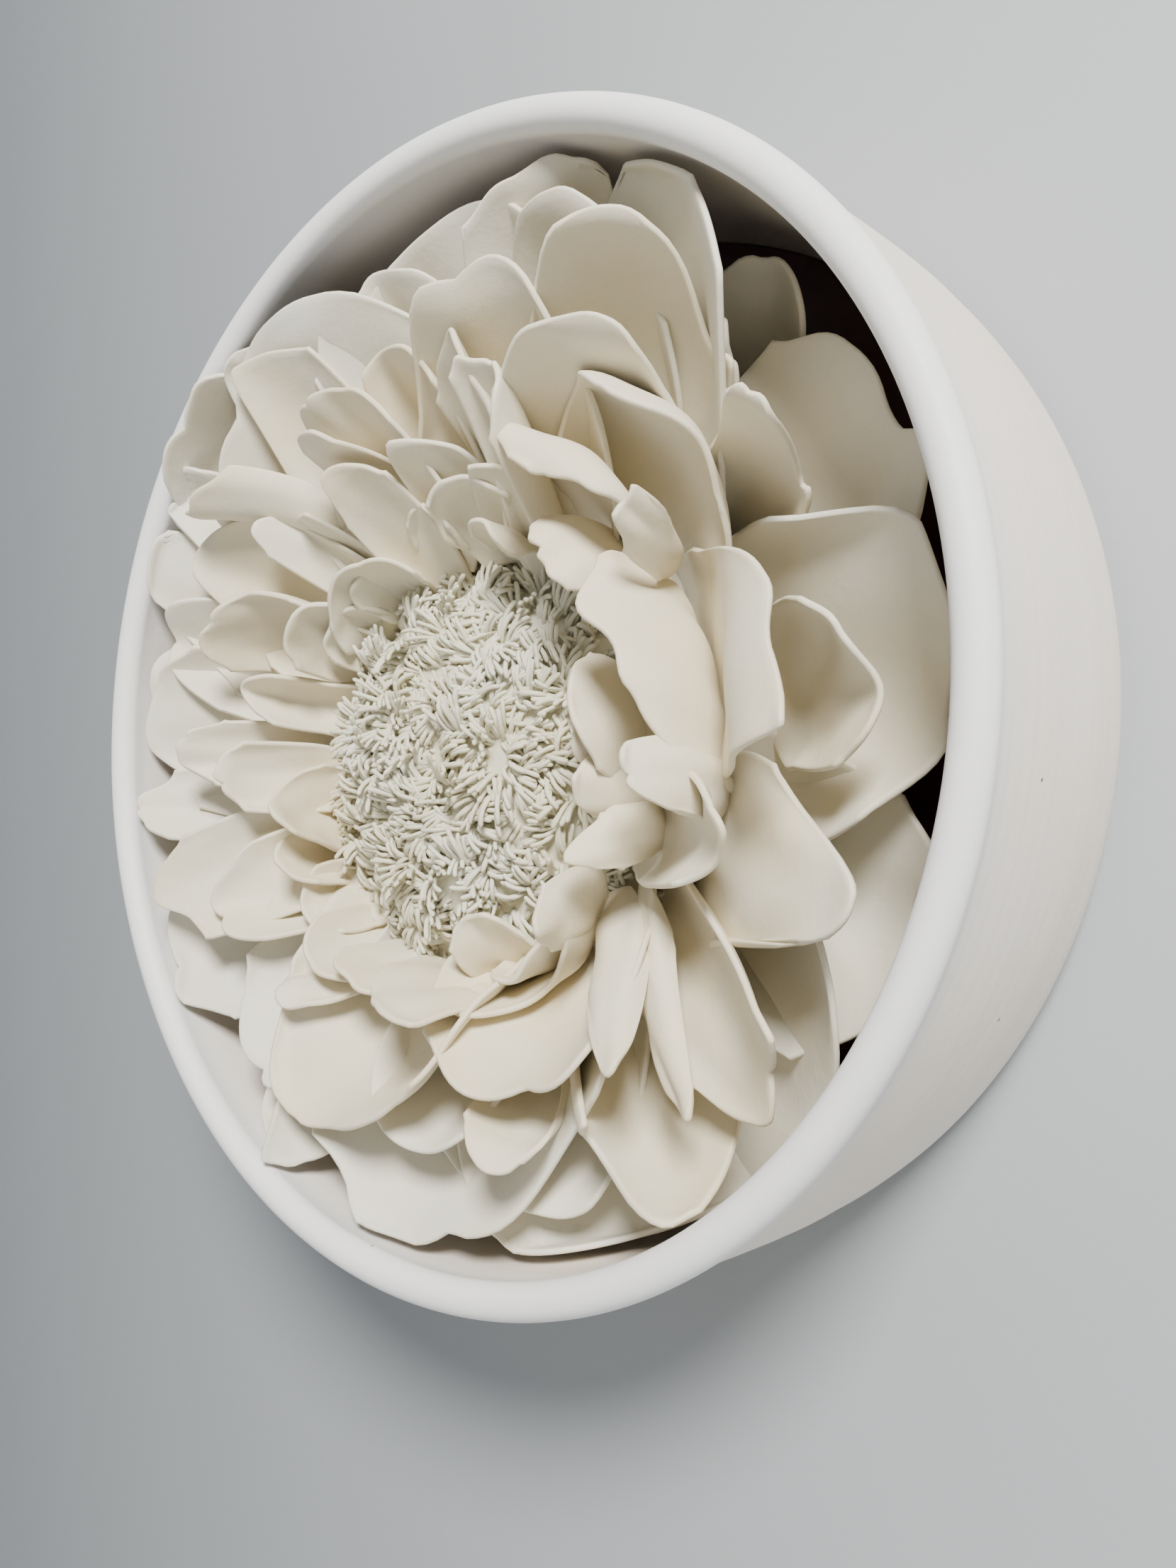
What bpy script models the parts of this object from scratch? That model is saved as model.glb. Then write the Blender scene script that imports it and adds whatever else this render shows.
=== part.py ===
"""A round porcelain hoop that frames a large open porcelain flower, made to hang flat on a wall.

The wall is the plane y = 0, the front faces -Y and +Z is up. The origin is the centre of the
hoop's flat back. The whole flower is drawn in millimetres about the hoop's axis, out to DRAWN_REACH,
and then scaled to the reach that the hoop leaves it, so its rows are shares of its own size.
"""
import math

import bmesh
import bpy
import numpy as np

# Driving dimensions, in metres
RING_OUTER_RADIUS = 0.185
RING_DEPTH = 0.1005
LIP_THICKNESS = 0.011
WALL_THICKNESS = 0.009
BELLY_RISE = 0.0012
NECK_DIP = 0.0018
FOOT_INSET = 0.005
FOOT_HEIGHT = 0.009
BOARD_THICKNESS = 0.009
FIT_GAP = 0.0003
TIP_CLEARANCE = 0.003

# Fineness of the round pieces and of the petals; the skin's steps are shares of a petal's thickness,
# and the first that gives a sound skin is used
RING_SEGMENTS = 60
LIP_SEGMENTS = 7
CORE_SEGMENTS = 48
PETAL_COLUMNS = 13
PETAL_ROWS = 13
CURVE_STEPS = 48
SKIN_STEPS = (0.4, 0.41, 0.39, 0.42, 0.38, 0.43)
FLOWER_TRIANGLES = 7600

# The flower as it is drawn, in millimetres: rises are above its underside, and clocks, reaches and
# roots are about its own axis, which stands at DRAWN_AXIS from the hoop's
DRAWN_REACH = 171.0
DRAWN_AXIS = (-5.0, -14.0)
DRAWN_THICKNESS = 3.0
ROOTS = {"outer": (46.0, 13.0), "middle": (52.0, 27.0), "inner": (57.0, 41.0)}
CORE_AXIS = (-14.0, -18.0)
CORE_PROFILE = ((0.0, 0.0), (54.0, 0.0), (74.0, 11.0), (83.0, 22.0), (84.0, 31.0), (79.0, 41.0),
                (70.0, 50.5), (58.0, 59.5), (42.0, 66.5), (22.0, 70.5), (0.0, 71.5))


def row(clock, reach, rise, width, bow, cup, curl=0.0, fold=(0.0, 0.0), lean=0.0, lobes=2, root=None,
        swing=0.0, ends=None):
    """One petal: where its tip is, how wide it is, and the angles in degrees that bend it.

    bow bends it along its length, cup across its width and curl at its tip, which turns out. fold
    rolls its left and right sides in. root moves its foot away from where its whorl has it, and swing
    turns the foot about the flower's axis. ends are the shares of its length that its margin reaches,
    from one side to the other.
    """
    return {"clock": clock, "reach": reach, "rise": rise, "width": width, "bow": bow, "cup": cup,
            "curl": curl, "fold": fold, "lean": lean, "lobes": lobes, "root": root, "swing": swing,
            "ends": ends}


OUTER_PETALS = (
    row(153.3, 169.3, 83, 74.5, 30, 30, ends=(0.54, 0.82, 1.08, 1.08, 1.08, 0.91, 0.65)),
    row(142.9, 170.9, 83, 49.9, 30, 40, ends=(0.8, 1.04, 1.08, 1.08, 1.08, 0.84, 0.76)),
    row(136.2, 195.7, 89, 86, 42, 50, lean=-0.8, lobes=3,
        ends=(0.85, 1.06, 1.08, 1.08, 1.03, 0.94, 0.78)),
    row(122.3, 180.9, 91, 51, 30, 30),
    row(118, 162.8, 85, 131.8, 30, 30, lobes=3, ends=(0.7, 0.96, 1.05, 1.08, 1.07, 0.99, 0.82)),
    row(102.1, 171.6, 83, 72.3, 24.7, 30, lean=16.5, lobes=3,
        ends=(0.73, 0.9, 0.95, 0.99, 0.99, 0.94, 0.81)),
    row(89.6, 175.1, 77, 114.5, 26.4, 20, lean=5.5, lobes=3,
        ends=(0.89, 0.98, 0.96, 0.97, 0.97, 0.95, 0.85)),
    row(74.8, 182.2, 73, 74.5, 38.9, 30, lean=23, lobes=3,
        ends=(0.61, 0.64, 1.08, 1.02, 0.97, 0.96, 0.9)),
    row(62.4, 190.6, 75, 104.3, 47.7, 35, curl=15, lean=-10.1,
        ends=(0.84, 0.89, 0.95, 1.08, 1.05, 0.88, 0.69)),
    row(54.4, 186.2, 53, 64, 50, 70, curl=-25, lean=-2, ends=(0.67, 0.84, 0.9, 0.94, 0.95, 0.87, 0.73)),
    row(51, 155, 57, 30, 30, 60, curl=-20),
    row(33.1, 167.2, 43, 92.3, 15, 20, lobes=3, ends=(0.75, 0.95, 1.08, 1, 1.02, 1, 0.86)),
    row(10.8, 168.6, 49, 108.1, 20, 50, lobes=3, ends=(0.83, 0.94, 0.87, 0.96, 1, 1.04, 0.69)),
    row(340.1, 199.8, 53, 86.9, 10, 30, lobes=3, ends=(0.61, 0.7, 0.78, 0.66, 0.67, 0.76, 0.62)),
    row(320.8, 158.5, 41, 125.4, 22.3, 30, lean=20.4, ends=(0.89, 1.06, 1, 1.08, 1.02, 0.96, 0.84)),
    row(298.2, 179.1, 53, 127.4, 33.2, 30, lean=-19.5, lobes=3,
        ends=(0.82, 0.92, 0.94, 0.91, 0.86, 0.78, 0.91)),
    row(285.3, 144.2, 63, 83.3, 20.7, 30, lean=-5, lobes=3, ends=(0.8, 0.93, 0.99, 1, 1.01, 0.99, 0.78)),
    row(277.2, 150.3, 75, 140, 9.3, 40, lean=1.9, lobes=3, swing=-2.4,
        ends=(0.84, 1.06, 1.02, 1.02, 0.94, 0.76, 0.67)),
    row(247.4, 150.7, 79, 54.5, 37, 30, lean=-47.2, ends=(0.72, 0.89, 1.08, 1.08, 1, 0.75, 0.5)),
    row(240.9, 156.8, 77, 52.3, 26.3, 30, lean=3.1, ends=(0.78, 0.93, 1.01, 1.07, 1.02, 0.97, 0.73)),
    row(232.9, 135.8, 81, 76.5, 36.5, 40, lean=-8.4, ends=(0.88, 0.99, 1, 1.02, 1.05, 0.9, 0.71)),
    row(211.3, 163, 85, 69.7, 33.7, 40, lean=-0.8, ends=(0.88, 0.91, 0.93, 1, 0.99, 0.88, 0.8)),
    row(187.3, 164.5, 85, 34.3, 28.6, 40, lean=8.9, ends=(0.89, 0.91, 1, 1.05, 0.95, 0.94, 0.91)),
    row(174.7, 165.6, 81, 73.7, 30, 40, ends=(0.87, 1.01, 1.02, 1, 0.99, 0.92, 0.78)),
    row(169, 168, 77, 60, 30, 40),
    row(162, 158, 81, 51, 30, 40),
    row(273, 122, 83, 71, 30, 40),
    row(70.9, 171.5, 77, 80, 37.6, 30, lean=2, ends=(0.77, 0.91, 0.99, 1.04, 1.02, 0.98, 0.76)),
)
MIDDLE_PETALS = (
    row(147.4, 146.6, 83, 67.5, 45, 50, lean=-3.2, ends=(0.79, 0.89, 0.98, 1.04, 1.06, 0.85, 0.64)),
    row(140.6, 143, 97, 37.9, 54.6, -80, lean=-53.6, swing=-15.7,
        ends=(0.88, 0.9, 0.96, 0.99, 1.05, 1.01, 1)),
    row(120.8, 164.8, 95, 54.3, 30, 30, ends=(0.85, 0.89, 0.94, 0.98, 1.02, 0.81, 0.6)),
    row(107.6, 128.5, 93, 57.5, 17.1, 30, lean=-18.8, ends=(0.84, 0.97, 0.97, 0.99, 1.04, 0.97, 0.74)),
    row(116.4, 116.3, 89, 46.7, 61, 30, lean=-13.6, ends=(0.96, 1.06, 1.08, 1.07, 0.92, 0.83, 0.7)),
    row(134, 127.9, 90, 27.4, 50.8, 50, lean=-7.3, ends=(0.78, 0.8, 0.82, 0.9, 0.95, 0.93, 0.83)),
    row(154.6, 123, 91, 49.6, 72.6, 50, lean=-43.3, root=(64, 29),
        ends=(0.65, 0.79, 0.84, 0.98, 1.01, 1, 0.85)),
    row(166.2, 101.5, 79, 28.7, 46.4, 90, lean=-2.8, root=(66, 29),
        ends=(0.87, 0.94, 1.01, 1.01, 0.99, 0.97, 0.87)),
    row(179.4, 127.8, 85, 28.1, 29.2, 40, lean=3.6, root=(66, 29),
        ends=(0.81, 1.01, 1.04, 1.01, 1.02, 0.95, 0.88)),
    row(184.9, 100.1, 87, 29.7, 49.8, 50, lean=11.3, root=(66, 29),
        ends=(0.93, 1.02, 1.04, 1.07, 1, 0.88, 0.89)),
    row(203.2, 148.3, 93, 46.5, -4.1, 40, lean=0.5, ends=(0.82, 0.96, 0.95, 0.95, 0.87, 0.85, 0.83)),
    row(209, 118, 85, 46, 30, 50, root=(66, 29)),
    row(235.1, 100.9, 83, 31.6, 58.2, 30, lean=24.9, ends=(0.86, 0.99, 1.08, 1.08, 1.07, 1.01, 0.85)),
    row(256.1, 129.9, 89, 114.8, 5.6, 60, lean=7, ends=(0.59, 1, 1.07, 0.97, 0.93, 0.88, 0.75)),
    row(73.5, 140.3, 91, 97.4, 30.2, 50, lean=3.3, lobes=3,
        ends=(0.67, 0.82, 1.03, 1.08, 1.07, 1.03, 0.52)),
    row(95.7, 131.1, 91, 43.7, 40, 60, lean=4.7, ends=(0.85, 0.96, 0.97, 0.97, 0.97, 0.97, 0.64)),
    row(78.9, 120.7, 89.4, 42.7, 35.9, 50.9, lean=-11.3, root=(59.6, 27), swing=-8,
        ends=(0.85, 1.01, 1.08, 1.08, 1.04, 1, 0.9)),
    row(55.6, 138.7, 94, 69.7, 53, 40, lean=32.6, lobes=3, ends=(0.7, 0.91, 1.02, 1.03, 1, 0.97, 0.79)),
    row(58.6, 168.5, 89, 82.3, 55.7, 55, lean=29.2, ends=(0.76, 0.72, 0.94, 1.01, 1.02, 1, 0.57)),
    row(50.1, 129.1, 93, 80, 57.9, 55, curl=-50, lean=16.9, root=(70, 33), swing=-12.2,
        ends=(0.55, 0.8, 0.92, 0.99, 0.97, 0.83, 0.53)),
    row(32.7, 154.3, 83, 43.5, 92.9, 40, lean=14.6, ends=(0.32, 0.79, 0.78, 0.97, 1.03, 1.02, 0.64)),
    row(318.6, 120.9, 91, 22.6, -10.9, -60, lean=-24.5, root=(69.6, 47), swing=3.2,
        ends=(0.73, 0.94, 1.08, 1.08, 0.98, 0.76, 0.52)),
    row(318.5, 139.8, 81, 19.8, -24.4, -80, lean=14.9, root=(72, 41), swing=10.4,
        ends=(0.8, 0.92, 1, 1.08, 1.08, 0.87, 0.41)),
    row(324.7, 149.9, 71, 50.3, 20, 40, lean=11.7, ends=(0.76, 0.96, 1.07, 1.08, 1.08, 1.08, 1.08)),
    row(347.6, 151, 81, 56.1, -16.4, -10, lean=4.1, root=(80.1, 36), swing=-6,
        ends=(0.31, 1.01, 1.08, 1.08, 0.9, 0.69, 0.56)),
    row(6.7, 156.4, 75, 51.3, 13.1, 50, lean=7.6, root=(99.6, 29), swing=5.3,
        ends=(0.76, 0.88, 0.92, 0.95, 0.99, 0.98, 0.83)),
    row(16.4, 141.5, 91, 77.1, 40, 10, curl=60, lean=-9.5, root=(70, 27),
        ends=(0.99, 0.95, 0.91, 0.96, 0.89, 0.67, 0.39)),
    row(300.5, 115.9, 93, 85.7, 30, 50, lean=-19.1, ends=(0.73, 0.9, 0.92, 0.95, 0.96, 0.92, 0.81)),
    row(291.6, 126.4, 85, 38.1, 72.2, 50, fold=(0, 110), lean=-23.1, swing=12.9,
        ends=(0.98, 1.07, 1.08, 1.06, 1.07, 0.94, 0.68)),
    row(312, 164, 81, 79.3, 77.6, 60, fold=(60, 0), lean=-35.7,
        ends=(0.79, 0.7, 0.97, 1.01, 0.93, 0.71, 0.53)),
    row(69.4, 120.7, 100.1, 33.4, 26, 91.9, lean=-14.4, root=(45, 27), swing=-14.8,
        ends=(0.84, 0.92, 0.93, 0.99, 0.95, 0.98, 0.94)),
    row(32.7, 112.5, 98.8, 16.4, 42.5, 42.8, lean=-59, root=(101.1, 61),
        ends=(0.68, 0.82, 0.98, 0.97, 0.96, 0.98, 1.01)),
    row(357, 97, 97, 21, 100, 30, root=(85.2, 38), swing=-5.6),
    row(349.4, 120, 84.9, 38.1, 33.6, 55.2, lean=-1.3, root=(64.6, 43), swing=-10.3,
        ends=(0.8, 0.9, 0.95, 1.04, 1.06, 0.96, 0.77)),
    row(92.5, 101.8, 85, 55, 36.3, 50, lean=5.2, ends=(0.69, 0.87, 0.92, 1.01, 1.05, 0.56, 0.3)),
)
INNER_PETALS = (
    row(109.6, 99.4, 87, 29.2, 20, 20, ends=(0.9, 0.98, 1.01, 1.05, 1.08, 1.08, 0.78)),
    row(146.2, 85.7, 81, 33.7, 36.2, 50, lean=-4.1, root=(76, 37), swing=2.9,
        ends=(0.85, 0.99, 1.05, 1.03, 0.99, 0.96, 0.82)),
    row(122.4, 78.5, 79, 48, 34, 50, lean=-1, root=(72, 37), swing=15.5,
        ends=(0.85, 0.95, 0.96, 0.95, 0.88, 0.78, 0.57)),
    row(125, 79, 71, 28, 30, 50, root=(70, 37)),
    row(143, 80, 69, 30, 30, 50, root=(72, 37)),
    row(190, 79.4, 81, 38.1, 31.2, 50, lean=6.6, root=(80, 35), swing=7.2,
        ends=(0.56, 0.75, 0.85, 0.93, 1.06, 1.07, 0.94)),
    row(206.8, 86.5, 79, 27.5, 34.2, 50, lean=5.8, root=(80, 35), swing=-0.9,
        ends=(0.74, 0.92, 0.99, 1.02, 0.98, 0.91, 0.77)),
    row(219, 89.9, 71, 34, 30, 50, root=(78, 35)),
    row(235.7, 89.9, 81, 42, 30, 50, root=(76, 35)),
    row(46.8, 79.4, 86.7, 29.6, 62.2, 27.9, lean=-14.1, root=(88, 57), swing=-4.3,
        ends=(0.84, 0.98, 0.96, 1.08, 1.02, 0.99, 0.81)),
    row(9.2, 88.7, 97, 81.5, 98.2, 20, lean=11, root=(83.5, 37), swing=5.6,
        ends=(0.3, 0.75, 0.86, 0.92, 0.84, 0.95, 0.68)),
    row(12.2, 68, 84.1, 42.6, 61, 22.4, lean=5.3, root=(61.6, 41), swing=-7.5,
        ends=(0.82, 0.96, 1.02, 1.02, 0.98, 0.9, 0.7)),
    row(4, 63, 79, 20, 60, 20, root=(66.4, 41), swing=-2.6),
    row(353.2, 68.4, 81.2, 25.4, 72.4, 62.4, lean=7.9, root=(68.6, 39), swing=-1.9,
        ends=(0.82, 0.99, 1.02, 1.06, 0.99, 0.88, 0.62)),
    row(335.8, 76.3, 87.2, 17.7, 66.4, 21.4, lean=36.9, root=(72.7, 43), swing=10.8,
        ends=(0.69, 0.87, 0.95, 1.03, 0.97, 0.86, 0.67)),
    row(318.6, 78.5, 90.1, 21.8, 22.1, 26.6, lean=40.7, root=(67.5, 51), swing=4,
        ends=(0.71, 0.83, 0.92, 0.98, 0.97, 0.85, 0.74)),
    row(290.8, 55.6, 73.5, 26.8, 24.2, -30.3, lean=11, root=(73.3, 47), swing=-4.5,
        ends=(0.83, 0.99, 1.01, 0.99, 1.03, 0.9, 0.67)),
    row(51.2, 98, 94, 54.8, 44.9, 30, curl=-90, lean=9.1, root=(76, 43), swing=9.8,
        ends=(0.85, 0.92, 0.91, 0.99, 1.01, 0.95, 0.91)),
    row(71.3, 94.4, 79.7, 22.3, 17.6, 21.5, lean=8.5, root=(68.5, 51), swing=6.8,
        ends=(0.89, 0.92, 0.88, 0.87, 0.95, 0.93, 0.9)),
    row(81.9, 87.6, 77.9, 32.9, 60.2, 46.9, lean=22.8, root=(67.5, 49), swing=3,
        ends=(0.85, 0.99, 1.02, 1.06, 1.08, 1.04, 0.94)),
    row(97, 83.8, 77, 27, 62.5, 50, lean=-11.9, root=(69.6, 49), swing=6.7,
        ends=(0.83, 0.94, 0.95, 0.9, 0.79, 0.77, 0.63)),
    row(72, 75.4, 79, 20, 20, 70, root=(72.1, 53), swing=1.8),
    row(272, 78.3, 97.9, 42.6, -40, -1.2, lean=-14.3, root=(80.6, 37),
        ends=(0.68, 0.84, 0.92, 1.03, 1.08, 1.08, 1.06)),
    row(250, 79, 85, 34, 20, 0, root=(72, 37)),
    row(300.1, 90, 81, 58.1, 30, 60, root=(70, 41), ends=(1.01, 1.01, 0.76, 0.59, 0.63, 0.73, 0.77)),
    row(298, 77, 73, 32, 30, 50, root=(70, 39)),
)


def clear_scene():
    """Empties the file that the script runs in."""
    for obj in list(bpy.data.objects):
        bpy.data.objects.remove(obj, do_unlink=True)


def material(name, color, roughness, specular=0.3):
    """A plain finish for one sub-part."""
    mat = bpy.data.materials.new(name)
    mat.use_nodes = True
    shader = mat.node_tree.nodes["Principled BSDF"]
    shader.inputs["Base Color"].default_value = (*color, 1.0)
    shader.inputs["Roughness"].default_value = roughness
    shader.inputs["Specular IOR Level"].default_value = specular
    return mat


def add_object(name, verts, faces, mat=None):
    """A mesh object from points in metres."""
    mesh = bpy.data.meshes.new(name)
    mesh.from_pydata([tuple(v) for v in verts], [], [tuple(f) for f in faces])
    mesh.validate()
    obj = bpy.data.objects.new(name, mesh)
    bpy.context.scene.collection.objects.link(obj)
    if mat:
        mesh.materials.append(mat)
    return obj


def smooth(value):
    """A ramp from 0 to 1 that starts and ends level."""
    t = np.clip(value, 0.0, 1.0)
    return t * t * (3.0 - 2.0 * t)


def turned_shape(profile, segments, axis=(0.0, 0.0)):
    """A closed shape of revolution about an axis that runs along Y: its points and its faces.

    The profile's points are (radius, height above the wall). It runs round a section that has a
    hollow in the middle, or from the axis to the axis on a solid one.
    """
    closed = profile[0][0] > 0.0
    verts = []
    rings = []
    for radius, height in profile:
        if radius == 0.0:
            rings.append([len(verts)] * segments)
            verts.append((axis[0], -height, axis[1]))
            continue
        rings.append(range(len(verts), len(verts) + segments))
        for k in range(segments):
            angle = 2.0 * math.pi * k / segments
            verts.append((axis[0] + radius * math.cos(angle), -height, axis[1] + radius * math.sin(angle)))
    pairs = list(zip(rings, rings[1:]))
    if closed:
        pairs.append((rings[-1], rings[0]))
    faces = []
    for low, high in pairs:
        for k in range(segments):
            j = (k + 1) % segments
            face = []
            for index in (low[k], low[j], high[j], high[k]):
                if index not in face:
                    face.append(index)
            faces.append(face)
    return verts, faces


def turned(name, profile, mat):
    """A round piece about the hoop's own axis."""
    verts, faces = turned_shape(profile, RING_SEGMENTS)
    obj = add_object(name, verts, faces, mat)
    obj.data.shade_smooth()
    obj.data.set_sharp_from_angle(angle=math.radians(40.0))
    return obj


def ring_profile():
    """The hoop's section: a flat back, a swelling wall with a dip under it, and a rolled lip."""
    bead = LIP_THICKNESS / 2.0
    bead_radius = RING_OUTER_RADIUS - bead
    bead_height = RING_DEPTH - bead
    inner = RING_OUTER_RADIUS - WALL_THICKNESS
    belly = RING_OUTER_RADIUS + BELLY_RISE
    neck = RING_OUTER_RADIUS - NECK_DIP
    points = [
        (RING_OUTER_RADIUS - FOOT_INSET, 0.0),
        (belly - FOOT_INSET * 0.35, FOOT_HEIGHT * 0.45),
        (belly - FOOT_INSET * 0.1, FOOT_HEIGHT),
        (belly, RING_DEPTH * 0.32),
        (RING_OUTER_RADIUS, RING_DEPTH * 0.6),
        (neck, bead_height - bead * 2.4),
        (neck, bead_height - bead * 1.2),
    ]
    first, last = math.radians(-25.0), math.radians(215.0)
    for k in range(LIP_SEGMENTS + 1):
        angle = first + (last - first) * k / LIP_SEGMENTS
        points.append((bead_radius + bead * math.cos(angle), bead_height + bead * math.sin(angle)))
    points.append((inner, bead_height - bead * 2.0))
    points.append((inner, BOARD_THICKNESS))
    points.append((inner, 0.0))
    return points


def lip_inner_radius():
    """The radius of the round opening that the lip leaves."""
    return RING_OUTER_RADIUS - LIP_THICKNESS


def drawn_scale():
    """Metres for each drawn millimetre of the flower."""
    return (lip_inner_radius() - TIP_CLEARANCE) / DRAWN_REACH


def flower_floor():
    """The height of the flower's underside, just clear of the board."""
    return BOARD_THICKNESS + FIT_GAP


def spine(bow, curl):
    """A petal's bent middle line on a chord of length 1: steps, along, across and direction."""
    step = np.linspace(0.0, 1.0, CURVE_STEPS)
    turn = math.radians(bow) * (step - 0.5) - math.radians(curl) * smooth((step - 0.68) / 0.32)
    along = np.concatenate([[0.0], np.cumsum(np.cos((turn[1:] + turn[:-1]) / 2.0))])
    across = np.concatenate([[0.0], np.cumsum(np.sin((turn[1:] + turn[:-1]) / 2.0))])
    tilt = math.atan2(across[-1], along[-1])
    reach = math.hypot(along[-1], across[-1])
    straight = (along * math.cos(tilt) + across * math.sin(tilt)) / reach
    raised = (across * math.cos(tilt) - along * math.sin(tilt)) / reach
    return step, straight, raised, turn - tilt


def section(cup, fold, share):
    """Half widths of a petal's cross-section, bent by its cup and by folds along its sides."""
    side = np.linspace(-1.0, 1.0, 2 * CURVE_STEPS + 1)
    turn = math.radians(cup) * side * (0.35 + 0.65 * smooth(share / 0.6))
    rolled = smooth(share / 0.5)
    turn = turn - math.radians(fold[0]) * smooth((-side - 0.45) / 0.55) * rolled
    turn = turn + math.radians(fold[1]) * smooth((side - 0.45) / 0.55) * rolled
    middle = (turn[1:] + turn[:-1]) / 2.0
    along = np.concatenate([[0.0], np.cumsum(np.cos(middle))]) / CURVE_STEPS
    raised = np.concatenate([[0.0], np.cumsum(np.sin(middle))]) / CURVE_STEPS
    return side, along - along[CURVE_STEPS], raised - raised[CURVE_STEPS]


def width_share(share, waist=0.5, tip=0.94):
    """A petal's width along its length: a narrow root, a broad blade and a blunt tip."""
    blade = waist + (1.0 - waist) * math.sin(math.pi / 2.0 * min(share / 0.58, 1.0)) ** 1.3
    return blade * (1.0 - (1.0 - tip) * max(0.0, (share - 0.7) / 0.3) ** 2)


def margin_reach(u, ends):
    """How far along the petal its margin reaches at the places u of its width, from -1 to 1."""
    if ends is None:
        return 1.0 - 0.2 * np.abs(u) ** 3.2
    return np.interp(u, np.linspace(-1.0, 1.0, len(ends)), ends)


def petal_grid(petal, whorl, columns, rows):
    """The middle surface of a petal: drawn points about the hoop's axis, x right, y back, z up."""
    root_reach, root_rise = petal["root"] or ROOTS[whorl]
    clock = math.radians(petal["clock"])
    swung = math.radians(petal["clock"] + petal["swing"])
    out = np.array([math.cos(clock), 0.0, math.sin(clock)])
    root_out = np.array([math.cos(swung), 0.0, math.sin(swung)])
    front = np.array([0.0, -1.0, 0.0])
    axis = np.array([DRAWN_AXIS[0], 0.0, DRAWN_AXIS[1]])
    base = axis + root_out * root_reach + front * root_rise
    tip = axis + out * petal["reach"] + front * petal["rise"]
    chord = np.linalg.norm(tip - base)
    ahead = (tip - base) / chord
    aside = np.array([-math.sin(clock), 0.0, math.cos(clock)])
    aside -= aside.dot(ahead) * ahead
    aside /= np.linalg.norm(aside)
    inward = np.cross(ahead, aside)
    lean = math.radians(petal["lean"])
    aside, inward = (aside * math.cos(lean) + inward * math.sin(lean),
                     inward * math.cos(lean) - aside * math.sin(lean))
    step, straight, raised, direction = spine(petal["bow"], petal["curl"])
    u = np.linspace(-1.0, 1.0, columns)
    grid = np.zeros((rows, columns, 3))
    for i, share in enumerate(np.linspace(0.0, 1.0, rows)):
        side, along, lift = section(petal["cup"], petal["fold"], share)
        half = petal["width"] / 2.0 * width_share(share)
        lobe = 0.018 * np.sin(petal["lobes"] * math.pi * u) * share ** 3
        place = share * margin_reach(u, petal["ends"]) + lobe
        x = np.interp(place, step, straight) + np.clip(place - 1.0, 0.0, 1.0)
        y = np.interp(place, step, raised)
        angle = np.interp(place, step, direction)
        normal = np.cos(angle)[:, None] * inward - np.sin(angle)[:, None] * ahead
        grid[i] = base + chord * (x[:, None] * ahead + y[:, None] * inward)
        grid[i] += half * np.interp(u, side, along)[:, None] * aside
        grid[i] += half * np.interp(u, side, lift)[:, None] * normal
    return grid


def grid_normals(grid):
    """Unit normals of a grid of points, towards the flower's inside."""
    along = np.gradient(grid, axis=0)
    across = np.gradient(grid, axis=1)
    normal = np.cross(along, across)
    return normal / np.linalg.norm(normal, axis=-1, keepdims=True)


def kept_in_reach(points):
    """Points of a petal, drawn in where they would pass the flower's reach."""
    limit = DRAWN_REACH - DRAWN_THICKNESS / 2.0
    radius = np.hypot(points[..., 0], points[..., 2])
    share = np.minimum(1.0, limit / np.maximum(radius, limit))
    kept = points.copy()
    kept[..., 0] *= share
    kept[..., 2] *= share
    return kept


def petal_shape(petal, whorl):
    """One petal as a closed sheet of even thickness: its drawn points and its faces."""
    grid = kept_in_reach(petal_grid(petal, whorl, PETAL_COLUMNS, PETAL_ROWS))
    offset = grid_normals(grid) * DRAWN_THICKNESS / 2.0
    count = PETAL_COLUMNS * PETAL_ROWS
    verts = np.concatenate([(grid + offset).reshape(-1, 3), (grid - offset).reshape(-1, 3)])
    faces = []
    for i in range(PETAL_ROWS - 1):
        for j in range(PETAL_COLUMNS - 1):
            a = i * PETAL_COLUMNS + j
            b = a + PETAL_COLUMNS
            faces.append((a, b, b + 1, a + 1))
            faces.append((count + a, count + a + 1, count + b + 1, count + b))
    rim = [j for j in range(PETAL_COLUMNS)]
    rim += [i * PETAL_COLUMNS + PETAL_COLUMNS - 1 for i in range(1, PETAL_ROWS)]
    rim += [(PETAL_ROWS - 1) * PETAL_COLUMNS + j for j in range(PETAL_COLUMNS - 2, -1, -1)]
    rim += [i * PETAL_COLUMNS for i in range(PETAL_ROWS - 2, 0, -1)]
    for a, b in zip(rim, rim[1:] + rim[:1]):
        faces.append((a, b, count + b, count + a))
    return verts, faces


def evaluated(obj):
    """The mesh that an object's modifiers leave."""
    graph = bpy.context.evaluated_depsgraph_get()
    return bpy.data.meshes.new_from_object(obj.evaluated_get(graph))


def drop_slivers(mesh):
    """Keeps the largest connected skin of a mesh, without the loose slivers that thinning leaves."""
    work = bmesh.new()
    work.from_mesh(mesh)
    waiting = set(work.verts)
    largest = set()
    while waiting:
        first = waiting.pop()
        group = {first}
        edge = [first]
        while edge:
            vert = edge.pop()
            for link in vert.link_edges:
                other = link.other_vert(vert)
                if other in waiting:
                    waiting.discard(other)
                    group.add(other)
                    edge.append(other)
        if len(group) > len(largest):
            largest = group
    loose = [vert for vert in work.verts if vert not in largest]
    bmesh.ops.delete(work, geom=loose, context="VERTS")
    bmesh.ops.triangulate(work, faces=work.faces[:])
    work.to_mesh(mesh)
    work.free()


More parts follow.
